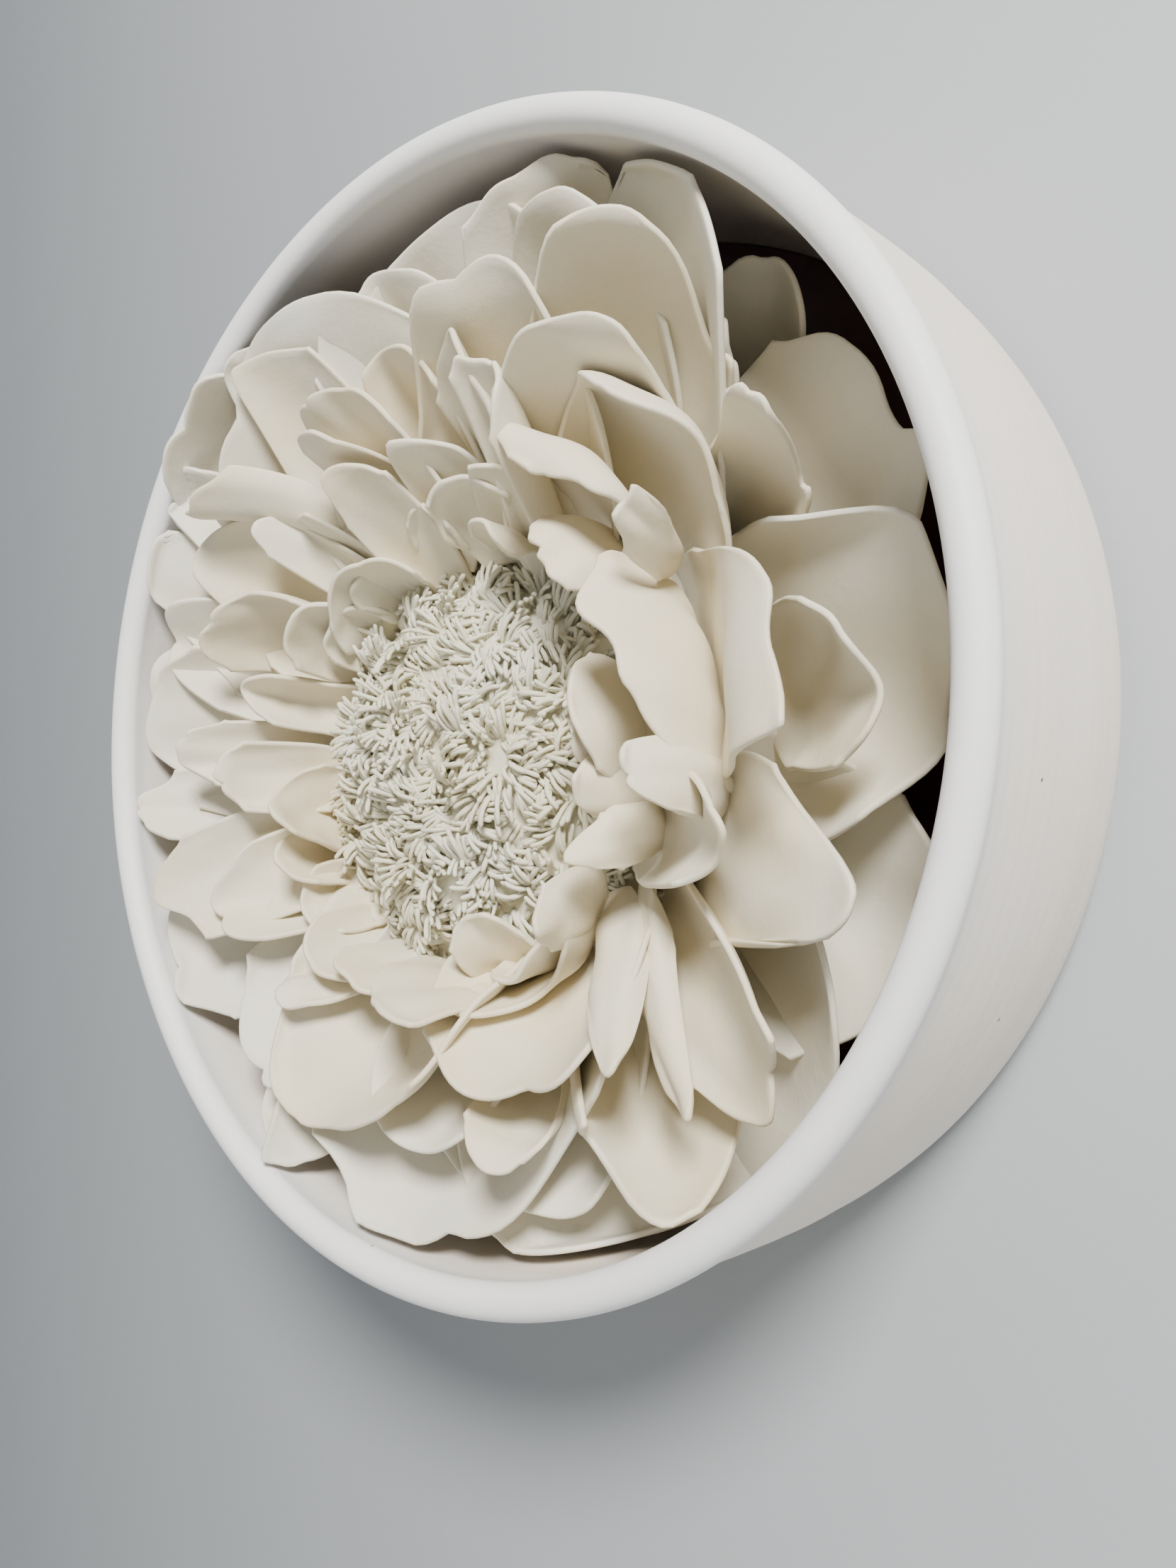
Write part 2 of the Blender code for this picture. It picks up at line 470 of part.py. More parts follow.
def scaled_to_hoop(mesh):
    """Moves a drawn mesh to its place over the board, in metres."""
    drawn = np.empty(3 * len(mesh.vertices))
    mesh.vertices.foreach_get("co", drawn)
    placed = drawn.reshape(-1, 3) * drawn_scale()
    placed[:, 1] -= flower_floor()
    mesh.vertices.foreach_set("co", placed.ravel())
    mesh.update()


def pinched(mesh):
    """Whether a skin is open somewhere, or touches itself along an edge."""
    work = bmesh.new()
    work.from_mesh(mesh)
    found = any(len(edge.link_faces) != 2 for edge in work.edges)
    work.free()
    return found


def wrapped(obj, rough, step):
    """One closed skin round the closed shapes of a rough mesh, thinned to few triangles."""
    obj.data = rough
    cover = obj.modifiers.new("cover", "REMESH")
    cover.mode = "VOXEL"
    cover.voxel_size = DRAWN_THICKNESS * step
    fine = evaluated(obj)
    obj.modifiers.clear()
    obj.data = fine
    thin = obj.modifiers.new("thin", "DECIMATE")
    thin.ratio = min(1.0, FLOWER_TRIANGLES / (2.0 * len(fine.polygons)))
    few = evaluated(obj)
    obj.modifiers.clear()
    drop_slivers(few)
    return few


def one_skin(name, shapes, mat):
    """A single solid of drawn shapes that pass through each other."""
    verts = []
    faces = []
    for points, sides in shapes:
        first = len(verts)
        verts += [tuple(point) for point in points]
        faces += [[first + index for index in side] for side in sides]
    obj = add_object(name, verts, faces)
    rough = obj.data
    for step in SKIN_STEPS:
        few = wrapped(obj, rough, step)
        if not pinched(few):
            break
    scaled_to_hoop(few)
    few.materials.clear()
    few.materials.append(mat)
    obj.data = few
    few.shade_smooth()
    few.set_sharp_from_angle(angle=math.radians(50.0))
    return obj


def build_ring():
    """The hoop."""
    return turned("frame_ring", ring_profile(), material("ring_porcelain", (0.84, 0.8, 0.74), 0.5))


def build_board():
    """The dark floor inside the hoop, its back flush with the hoop's back."""
    radius = RING_OUTER_RADIUS - WALL_THICKNESS - FIT_GAP
    profile = [(0.0, 0.0), (radius, 0.0), (radius, BOARD_THICKNESS), (0.0, BOARD_THICKNESS)]
    return turned("back_board", profile, material("maroon_satin", (0.13, 0.03, 0.035), 0.4))


def build_flower():
    """The whole flower, fired as one: a core with the dome of threads, and every petal."""
    shapes = [turned_shape(CORE_PROFILE, CORE_SEGMENTS, CORE_AXIS)]
    for whorl, petals in (("outer", OUTER_PETALS), ("middle", MIDDLE_PETALS), ("inner", INNER_PETALS)):
        shapes += [petal_shape(petal, whorl) for petal in petals]
    return one_skin("flower", shapes, material("bare_porcelain", (0.78, 0.73, 0.62), 0.6))


def main():
    """Builds the three pieces."""
    clear_scene()
    build_ring()
    build_board()
    build_flower()


main()
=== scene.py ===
import math

import bpy
import numpy as np
from mathutils import Matrix


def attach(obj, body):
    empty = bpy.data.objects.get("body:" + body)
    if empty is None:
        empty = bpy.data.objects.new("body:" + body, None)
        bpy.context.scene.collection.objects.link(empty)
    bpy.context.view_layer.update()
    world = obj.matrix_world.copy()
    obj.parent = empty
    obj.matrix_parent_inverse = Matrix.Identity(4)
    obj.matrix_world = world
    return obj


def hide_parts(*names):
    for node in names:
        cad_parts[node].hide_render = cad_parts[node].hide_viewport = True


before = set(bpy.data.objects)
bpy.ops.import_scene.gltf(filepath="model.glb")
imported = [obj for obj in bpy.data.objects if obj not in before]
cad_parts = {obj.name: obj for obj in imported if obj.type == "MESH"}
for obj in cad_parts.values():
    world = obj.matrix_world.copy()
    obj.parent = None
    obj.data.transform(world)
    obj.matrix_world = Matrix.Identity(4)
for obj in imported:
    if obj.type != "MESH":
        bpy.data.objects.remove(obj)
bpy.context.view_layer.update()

# The hoop, in metres, as in the solids
RING_OUTER_RADIUS = 0.185
RING_DEPTH = 0.1005
LIP_THICKNESS = 0.011
WALL_THICKNESS = 0.009
BELLY_RISE = 0.0012
NECK_DIP = 0.0018
FOOT_INSET = 0.005
FOOT_HEIGHT = 0.009
BOARD_THICKNESS = 0.009
FIT_GAP = 0.0003

# The flower: millimetres about its own axis, heights above the wall
FLOWER_RADIUS = 168.0
FLOWER_UNDERSIDE = 9.0
FLOWER_CLEARANCE = 0.006
PETAL_CLEARANCE = 0.003
SCALE = (RING_OUTER_RADIUS - LIP_THICKNESS - FLOWER_CLEARANCE) / FLOWER_RADIUS
AXIS = (-5.0, -14.0)
ROOTS = {"outer": (46.0, 22.0), "middle": (52.0, 36.0), "inner": (57.0, 50.0)}
CORE_PROFILE = ((0.0, 9.3), (54.0, 9.3), (72.0, 20.0), (79.0, 32.0), (78.0, 42.0), (70.0, 52.5),
                (58.0, 61.5), (42.0, 68.5), (22.0, 72.5), (0.0, 73.5))
DOME_SHIFT = (-9.0, -4.0)
DOME_REACH = 83.0
DOME_RADII = (0.0, 22.0, 42.0, 58.0, 70.0, 78.0, 84.0)
DOME_HEIGHTS = (75.0, 74.0, 70.0, 63.0, 54.0, 44.0, 34.0)
DEPTHS = {"outer": 0.04, "middle": 0.036, "inner": 0.02}
WAVES = {"outer": 3.0, "middle": 2.6, "inner": 1.2}
ROUND_OFF = 0.2
NOTCH_DEPTH = 0.12
NOTCH_WIDTH = 0.13
THICK = 2.5
RIM_THICK = 1.9

# How finely the petals are made, and how many share a piece
COLUMNS = 33
ROWS = 30
SPINE_STEPS = 97
SECTION_STEPS = 129
PETALS_PER_PIECE = 26

# The threads on the dome: sheaves set out along a spiral, the inner half and the border
SHEAVES = 390
INNER_SHEAVES = 195
GOLDEN_ANGLE = 2.39996
THREAD_SEED = 11
FIRST_PETAL_SEED = 100

# The turned pieces
RING_SEGMENTS = 288
RING_WOBBLE = 0.00022
BOARD_SEGMENTS = 192
BOARD_EDGE = 0.0006
CORE_SEGMENTS = 96


def ramp(t):
    """A soft step from 0 to 1."""
    t = np.clip(t, 0.0, 1.0)
    return t * t * (3.0 - 2.0 * t)


def petal(name, whorl, clock, reach, height, width, bow, cup, curl=0, **more):
    """One petal; height is above the wall, and more says what sets it apart."""
    return {"name": name, "whorl": whorl, "clock": clock, "reach": reach, "height": height, "width": width,
            "bow": bow, "cup": cup, "curl": curl, **more}


# One row for each petal. A solver fitted most rows to margins that were read off; the plain ones are given
# one by one.
PETALS = [
    petal("o1", "outer", 153.3, 169.3, 92, 74.5, 30, 30, ends=(0.54, 0.82, 1.08, 1.08, 1.08, 0.91, 0.65)),
    petal("o2", "outer", 142.9, 170.9, 92, 49.9, 30, 40, ends=(0.8, 1.04, 1.08, 1.08, 1.08, 0.84, 0.76)),
    petal("o3", "outer", 136.2, 195.7, 98, 86, 42, 50, lobes=3, lean=-0.8,
          ends=(0.85, 1.06, 1.08, 1.08, 1.03, 0.94, 0.78)),
    petal("o4", "outer", 122.3, 180.9, 100, 51, 30, 30),
    petal("o5", "outer", 118, 162.8, 94, 131.8, 30, 30, lobes=3,
          ends=(0.7, 0.96, 1.05, 1.08, 1.07, 0.99, 0.82)),
    petal("o6", "outer", 102.1, 171.6, 92, 72.3, 24.7, 30, lobes=3, lean=16.5,
          ends=(0.73, 0.9, 0.95, 0.99, 0.99, 0.94, 0.81)),
    petal("o7", "outer", 89.6, 175.1, 86, 114.5, 26.4, 20, lobes=3, lean=5.5,
          ends=(0.89, 0.98, 0.96, 0.97, 0.97, 0.95, 0.85)),
    petal("o8", "outer", 74.8, 182.2, 82, 74.5, 38.9, 30, lobes=3,
          ends=(0.61, 0.64, 1.08, 1.02, 0.97, 0.96, 0.9), lean=23),
    petal("o9", "outer", 62.4, 190.6, 84, 104.3, 47.7, 35, 15, lean=-10.1,
          ends=(0.84, 0.89, 0.95, 1.08, 1.05, 0.88, 0.69)),
    petal("o10", "outer", 54.4, 186.2, 62, 64, 50, 70, -25, lean=-2,
          ends=(0.67, 0.84, 0.9, 0.94, 0.95, 0.87, 0.73)),
    petal("o11", "outer", 51, 155, 66, 30, 30, 60, -20),
    petal("o12", "outer", 33.1, 167.2, 52, 92.3, 15, 20, lobes=3,
          ends=(0.75, 0.95, 1.08, 1, 1.02, 1, 0.86)),
    petal("o13", "outer", 10.8, 168.6, 58, 108.1, 20, 50, lobes=3,
          ends=(0.83, 0.94, 0.87, 0.96, 1, 1.04, 0.69)),
    petal("o14", "outer", 340.1, 199.8, 62, 86.9, 10, 30, lobes=3,
          ends=(0.61, 0.7, 0.78, 0.66, 0.67, 0.76, 0.62)),
    petal("o15", "outer", 320.8, 158.5, 50, 125.4, 22.3, 30, lean=20.4,
          ends=(0.89, 1.06, 1, 1.08, 1.02, 0.96, 0.84)),
    petal("o16", "outer", 298.2, 179.1, 62, 127.4, 33.2, 30, lobes=3, lean=-19.5,
          ends=(0.82, 0.92, 0.94, 0.91, 0.86, 0.78, 0.91)),
    petal("o17", "outer", 285.3, 144.2, 72, 83.3, 20.7, 30, lobes=3, lean=-5,
          ends=(0.8, 0.93, 0.99, 1, 1.01, 0.99, 0.78)),
    petal("o18", "outer", 277.2, 150.3, 84, 140, 9.3, 40, lobes=3, lean=1.9, swing=-2.4,
          ends=(0.84, 1.06, 1.02, 1.02, 0.94, 0.76, 0.67)),
    petal("o19", "outer", 247.4, 150.7, 88, 54.5, 37, 30, lean=-47.2,
          ends=(0.72, 0.89, 1.08, 1.08, 1, 0.75, 0.5)),
    petal("o20", "outer", 240.9, 156.8, 86, 52.3, 26.3, 30, lean=3.1,
          ends=(0.78, 0.93, 1.01, 1.07, 1.02, 0.97, 0.73)),
    petal("o21", "outer", 232.9, 135.8, 90, 76.5, 36.5, 40, lean=-8.4,
          ends=(0.88, 0.99, 1, 1.02, 1.05, 0.9, 0.71)),
    petal("o22", "outer", 211.3, 163, 94, 69.7, 33.7, 40, lean=-0.8,
          ends=(0.88, 0.91, 0.93, 1, 0.99, 0.88, 0.8)),
    petal("o24", "outer", 187.3, 164.5, 94, 34.3, 28.6, 40, lean=8.9,
          ends=(0.89, 0.91, 1, 1.05, 0.95, 0.94, 0.91)),
    petal("o25", "outer", 174.7, 165.6, 90, 73.7, 30, 40, ends=(0.87, 1.01, 1.02, 1, 0.99, 0.92, 0.78)),
    petal("o26", "outer", 169, 168, 86, 60, 30, 40),
    petal("o27", "outer", 162, 158, 90, 51, 30, 40),
    petal("m1", "middle", 147.4, 146.6, 92, 67.5, 45, 50, lean=-3.2,
          ends=(0.79, 0.89, 0.98, 1.04, 1.06, 0.85, 0.64)),
    petal("m2", "middle", 140.6, 143, 106, 37.9, 54.6, -80, lean=-53.6, swing=-15.7,
          ends=(0.88, 0.9, 0.96, 0.99, 1.05, 1.01, 1)),
    petal("m3", "middle", 120.8, 164.8, 104, 54.3, 30, 30,
          ends=(0.85, 0.89, 0.94, 0.98, 1.02, 0.81, 0.6)),
    petal("m4", "middle", 107.6, 128.5, 102, 57.5, 17.1, 30, lean=-18.8,
          ends=(0.84, 0.97, 0.97, 0.99, 1.04, 0.97, 0.74)),
    petal("m5", "middle", 116.4, 116.3, 98, 46.7, 61, 30, lean=-13.6,
          ends=(0.96, 1.06, 1.08, 1.07, 0.92, 0.83, 0.7)),
    petal("m7", "middle", 134, 127.9, 99, 27.4, 50.8, 50, lean=-7.3,
          ends=(0.78, 0.8, 0.82, 0.9, 0.95, 0.93, 0.83)),
    petal("m8", "middle", 154.6, 123, 100, 49.6, 72.6, 50, root=(64, 38), lean=-43.3,
          ends=(0.65, 0.79, 0.84, 0.98, 1.01, 1, 0.85)),
    petal("m13", "middle", 166.2, 101.5, 88, 28.7, 46.4, 90, root=(66, 38), lean=-2.8,
          ends=(0.87, 0.94, 1.01, 1.01, 0.99, 0.97, 0.87)),
    petal("m14", "middle", 179.4, 127.8, 94, 28.1, 29.2, 40, root=(66, 38), lean=3.6,
          ends=(0.81, 1.01, 1.04, 1.01, 1.02, 0.95, 0.88)),
    petal("m15", "middle", 184.9, 100.1, 96, 29.7, 49.8, 50, root=(66, 38), lean=11.3,
          ends=(0.93, 1.02, 1.04, 1.07, 1, 0.88, 0.89)),
    petal("o23", "middle", 203.2, 148.3, 102, 46.5, -4.1, 40, lean=0.5,
          ends=(0.82, 0.96, 0.95, 0.95, 0.87, 0.85, 0.83)),
    petal("m18", "middle", 209, 118, 94, 46, 30, 50, root=(66, 38)),
    petal("m21", "middle", 235.1, 100.9, 92, 31.6, 58.2, 30, lean=24.9,
          ends=(0.86, 0.99, 1.08, 1.08, 1.07, 1.01, 0.85)),
    petal("m22", "middle", 256.1, 129.9, 98, 114.8, 5.6, 60, lean=7,
          ends=(0.59, 1, 1.07, 0.97, 0.93, 0.88, 0.75)),
    petal("m23", "middle", 73.5, 140.3, 100, 97.4, 30.2, 50, lobes=3, lean=3.3,
          ends=(0.67, 0.82, 1.03, 1.08, 1.07, 1.03, 0.52)),
    petal("m24", "middle", 95.7, 131.1, 100, 43.7, 40, 60, lean=4.7,
          ends=(0.85, 0.96, 0.97, 0.97, 0.97, 0.97, 0.64)),
    petal("m25", "middle", 78.9, 120.7, 98.4, 42.7, 35.9, 50.9, root=(59.6, 36), swing=-8, lean=-11.3,
          ends=(0.85, 1.01, 1.08, 1.08, 1.04, 1, 0.9)),
    petal("m27", "middle", 55.6, 138.7, 103, 69.7, 53, 40, lobes=3,
          ends=(0.7, 0.91, 1.02, 1.03, 1, 0.97, 0.79), lean=32.6),
    petal("m28", "middle", 58.6, 168.5, 98, 82.3, 55.7, 55, lobes=2,
          ends=(0.76, 0.72, 0.94, 1.01, 1.02, 1, 0.57), lean=29.2),
    petal("m29", "middle", 50.1, 129.1, 102, 80, 57.9, 55, -50, root=(70, 42), lean=16.9, swing=-12.2,
          ends=(0.55, 0.8, 0.92, 0.99, 0.97, 0.83, 0.53)),
    petal("m30", "middle", 32.7, 154.3, 92, 43.5, 92.9, 40,
          ends=(0.32, 0.79, 0.78, 0.97, 1.03, 1.02, 0.64), lean=14.6),
    petal("m42", "middle", 318.6, 120.9, 100, 22.6, -10.9, -60, root=(69.6, 56), swing=3.2,
          ends=(0.73, 0.94, 1.08, 1.08, 0.98, 0.76, 0.52), lean=-24.5),
    petal("m43", "middle", 318.5, 139.8, 90, 19.8, -24.4, -80, root=(72, 50), swing=10.4, lean=14.9,
          ends=(0.8, 0.92, 1, 1.08, 1.08, 0.87, 0.41)),
    petal("m44", "middle", 324.7, 149.9, 80, 50.3, 20, 40, lean=11.7,
          ends=(0.76, 0.96, 1.07, 1.08, 1.08, 1.08, 1.08)),
    petal("m45", "middle", 347.6, 151, 90, 56.1, -16.4, -10, waist=0.6, blunt=0.9,
          ends=(0.31, 1.01, 1.08, 1.08, 0.9, 0.69, 0.56), root=(80.1, 45), swing=-6, lean=4.1),
    petal("m46", "middle", 6.7, 156.4, 84, 51.3, 13.1, 50, root=(99.6, 38), swing=5.3, lean=7.6,
          ends=(0.76, 0.88, 0.92, 0.95, 0.99, 0.98, 0.83)),
    petal("m48", "middle", 16.4, 141.5, 100, 77.1, 40, 10, 60, root=(70, 36), wave=4.5, count=2.4,
          ends=(0.99, 0.95, 0.91, 0.96, 0.89, 0.67, 0.39), lean=-9.5),
    petal("m59", "middle", 300.5, 115.9, 102, 85.7, 30, 50, lean=-19.1,
          ends=(0.73, 0.9, 0.92, 0.95, 0.96, 0.92, 0.81)),
    petal("m60", "middle", 291.6, 126.4, 94, 38.1, 72.2, 50, fold=(0, 110), lean=-23.1, swing=12.9,
          ends=(0.98, 1.07, 1.08, 1.06, 1.07, 0.94, 0.68)),
    petal("m61", "middle", 312, 164, 90, 79.3, 77.6, 60, fold=(60, 0), lean=-35.7,
          ends=(0.79, 0.7, 0.97, 1.01, 0.93, 0.71, 0.53)),
    petal("m6", "inner", 109.6, 99.4, 96, 29.2, 20, 20, ends=(0.9, 0.98, 1.01, 1.05, 1.08, 1.08, 0.78)),
    petal("m9", "inner", 146.2, 85.7, 90, 33.7, 36.2, 50, root=(76, 46), lean=-4.1, swing=2.9,
          ends=(0.85, 0.99, 1.05, 1.03, 0.99, 0.96, 0.82)),
    petal("m10", "inner", 122.4, 78.5, 88, 48, 34, 50, root=(72, 46), lean=-1, swing=15.5,
          ends=(0.85, 0.95, 0.96, 0.95, 0.88, 0.78, 0.57)),
    petal("m11", "inner", 125, 79, 80, 28, 30, 50, root=(70, 46)),
    petal("m12", "inner", 143, 80, 78, 30, 30, 50, root=(72, 46)),
    petal("m16", "inner", 190, 79.4, 90, 38.1, 31.2, 50, root=(80, 44), lean=6.6, swing=7.2,
          ends=(0.56, 0.75, 0.85, 0.93, 1.06, 1.07, 0.94)),
    petal("m17", "inner", 206.8, 86.5, 88, 27.5, 34.2, 50, root=(80, 44), lean=5.8, swing=-0.9,
          ends=(0.74, 0.92, 0.99, 1.02, 0.98, 0.91, 0.77)),
    petal("m19", "inner", 219, 89.9, 80, 34, 30, 50, root=(78, 44)),
    petal("m20", "inner", 235.7, 89.9, 90, 42, 30, 50, root=(76, 44)),
    petal("m26", "middle", 69.4, 120.7, 109.1, 33.4, 26, 91.9, root=(45, 36), swing=-14.8, lean=-14.4,
          ends=(0.84, 0.92, 0.93, 0.99, 0.95, 0.98, 0.94)),
    petal("m31", "middle", 32.7, 112.5, 107.8, 16.4, 42.5, 42.8, root=(101.1, 70), lean=-59,
          ends=(0.68, 0.82, 0.98, 0.97, 0.96, 0.98, 1.01)),
    petal("m32", "inner", 46.8, 79.4, 95.7, 29.6, 62.2, 27.9, root=(88, 66), notch=0, swing=-4.3,
          lean=-14.1, ends=(0.84, 0.98, 0.96, 1.08, 1.02, 0.99, 0.81)),
    petal("m33", "inner", 9.2, 88.7, 106, 81.5, 98.2, 20, root=(83.5, 46),
          ends=(0.3, 0.75, 0.86, 0.92, 0.84, 0.95, 0.68), depth=0.03, wave=3.2, swing=5.6, count=3.2,
          lean=11),
    petal("m34", "inner", 12.2, 68, 93.1, 42.6, 61, 22.4, root=(61.6, 50), swing=-7.5, lean=5.3,
          ends=(0.82, 0.96, 1.02, 1.02, 0.98, 0.9, 0.7)),
    petal("m35", "inner", 4, 63, 88, 20, 60, 20, root=(66.4, 50), swing=-2.6),
    petal("m36", "inner", 353.2, 68.4, 90.2, 25.4, 72.4, 62.4, root=(68.6, 48), swing=-1.9, lean=7.9,
          ends=(0.82, 0.99, 1.02, 1.06, 0.99, 0.88, 0.62)),
    petal("m37", "middle", 357, 97, 106, 21, 100, 30, root=(85.2, 47), swing=-5.6),
    petal("m38", "inner", 335.8, 76.3, 96.2, 17.7, 66.4, 21.4, root=(72.7, 52), swing=10.8, lean=36.9,
          ends=(0.69, 0.87, 0.95, 1.03, 0.97, 0.86, 0.67)),
    petal("m39", "middle", 349.4, 120, 93.9, 38.1, 33.6, 55.2, root=(64.6, 52), swing=-10.3, lean=-1.3,
          ends=(0.8, 0.9, 0.95, 1.04, 1.06, 0.96, 0.77)),
    petal("m40", "inner", 318.6, 78.5, 99.1, 21.8, 22.1, 26.6, root=(67.5, 60), swing=4, lean=40.7,
          ends=(0.71, 0.83, 0.92, 0.98, 0.97, 0.85, 0.74)),
    petal("m41", "inner", 290.8, 55.6, 82.5, 26.8, 24.2, -30.3, root=(73.3, 56), swing=-4.5, lean=11,
          ends=(0.83, 0.99, 1.01, 0.99, 1.03, 0.9, 0.67)),
    petal("m49", "inner", 51.2, 98, 103, 54.8, 44.9, 30, -90, root=(76, 52), swing=9.8,
          ends=(0.85, 0.92, 0.91, 0.99, 1.01, 0.95, 0.91), lean=9.1),
    petal("m50", "inner", 71.3, 94.4, 88.7, 22.3, 17.6, 21.5, root=(68.5, 60), swing=6.8, lean=8.5,
          ends=(0.89, 0.92, 0.88, 0.87, 0.95, 0.93, 0.9)),
    petal("m51", "inner", 81.9, 87.6, 86.9, 32.9, 60.2, 46.9, root=(67.5, 58), swing=3, lean=22.8,
          ends=(0.85, 0.99, 1.02, 1.06, 1.08, 1.04, 0.94)),
    petal("m52", "inner", 97, 83.8, 86, 27, 62.5, 50, root=(69.6, 58), swing=6.7, lean=-11.9,
          ends=(0.83, 0.94, 0.95, 0.9, 0.79, 0.77, 0.63)),
    petal("m53", "inner", 72, 75.4, 88, 20, 20, 70, root=(72.1, 62), swing=1.8),
    petal("m54", "middle", 92.5, 101.8, 94, 55, 36.3, 50, lean=5.2,
          ends=(0.69, 0.87, 0.92, 1.01, 1.05, 0.56, 0.3)),
    petal("m55", "inner", 272, 78.3, 106.9, 42.6, -40, -1.2, root=(80.6, 46), lean=-14.3,
          ends=(0.68, 0.84, 0.92, 1.03, 1.08, 1.08, 1.06)),
    petal("m56", "inner", 250, 79, 94, 34, 20, 0, root=(72, 46)),
    petal("m57", "inner", 300.1, 90, 90, 58.1, 30, 60, root=(70, 50),
          ends=(1.01, 1.01, 0.76, 0.59, 0.63, 0.73, 0.77)),
    petal("m58", "inner", 298, 77, 82, 32, 30, 50, root=(70, 48)),
    petal("n1", "outer", 273, 122, 92, 71, 30, 40),
    petal("n2", "outer", 70.9, 171.5, 86, 80, 37.6, 30, lean=2,
          ends=(0.77, 0.91, 0.99, 1.04, 1.02, 0.98, 0.76)),
]
for index, entry in enumerate(PETALS):
    entry["seed"] = FIRST_PETAL_SEED + index


def margin(u, share, count, turn):
    """Round scallops that run round a petal's free margin, from one side over the tip to the other."""
    place = np.arctan2(u, 1.5 * (share - 0.42))
    uneven = place + 0.35 * np.sin(2.0 * place + turn[1])
    scallops = 2.0 * np.abs(np.sin(0.5 * count * uneven + turn[0])) ** 0.8 - 1.2
    return 0.75 * scallops + 0.45 * np.sin(1.6 * place + turn[1])


def through(u, values):
    """A soft line through values that stand evenly from u = -1 to u = 1."""
    spots = np.linspace(-1.0, 1.0, len(values))
    step = 0.5 / (len(values) - 1)
    shifted = [np.clip(u + shift * step, -1.0, 1.0) for shift in (-1.0, 0.0, 1.0)]
    return sum(np.interp(place, spots, values) for place in shifted) / 3.0


def spine(bow, curl):
    """A petal's line from root to tip: steps, places along its chord and off it, and direction."""
    step = np.linspace(0.0, 1.0, SPINE_STEPS)
    turn = np.radians(bow) * (step - 0.5) - np.radians(curl) * ramp((step - 0.68) / 0.32)
    along = np.concatenate([[0.0], np.cumsum(np.cos((turn[1:] + turn[:-1]) / 2.0))])
    across = np.concatenate([[0.0], np.cumsum(np.sin((turn[1:] + turn[:-1]) / 2.0))])
    tilt = math.atan2(across[-1], along[-1])
    reach = math.hypot(along[-1], across[-1])
    straight = (along * math.cos(tilt) + across * math.sin(tilt)) / reach
    raised = (across * math.cos(tilt) - along * math.sin(tilt)) / reach
    return step, straight, raised, turn - tilt


def section(cup, fold, share):
    """A petal's line from side to side, cupped, with its sides folded over: places across and off it."""
    half_steps = SECTION_STEPS // 2
    side = np.linspace(-1.0, 1.0, SECTION_STEPS)
    turn = np.radians(cup) * side * (0.35 + 0.65 * ramp(share / 0.6))
    rolled = ramp(share / 0.5)
    turn = turn - np.radians(fold[0]) * ramp((-side - 0.45) / 0.55) * rolled
    turn = turn + np.radians(fold[1]) * ramp((side - 0.45) / 0.55) * rolled
    middle = (turn[1:] + turn[:-1]) / 2.0
    along = np.concatenate([[0.0], np.cumsum(np.cos(middle))]) / half_steps
    raised = np.concatenate([[0.0], np.cumsum(np.sin(middle))]) / half_steps
    return side, along - along[half_steps], raised - raised[half_steps]


def petal_axes(p):
    """A petal's root, the length of its chord, and its three directions: ahead, aside and inward."""
    root_reach, root_height = p.get("root") or ROOTS[p["whorl"]]
    clock = math.radians(p["clock"])
    swung = math.radians(p["clock"] + p.get("swing", 0.0))
    out = np.array([math.cos(clock), 0.0, math.sin(clock)])
    root_out = np.array([math.cos(swung), 0.0, math.sin(swung)])
    front = np.array([0.0, -1.0, 0.0])
    base = root_out * root_reach + front * root_height
    tip = out * p["reach"] + front * p["height"]
    chord = np.linalg.norm(tip - base)
    ahead = (tip - base) / chord
    aside = np.array([-math.sin(clock), 0.0, math.cos(clock)])
    aside -= aside.dot(ahead) * ahead
    aside /= np.linalg.norm(aside)
    inward = np.cross(ahead, aside)
    lean = math.radians(p.get("lean", 0.0))
    aside, inward = (aside * math.cos(lean) + inward * math.sin(lean),
                     inward * math.cos(lean) - aside * math.sin(lean))
    return base, chord, ahead, aside, inward


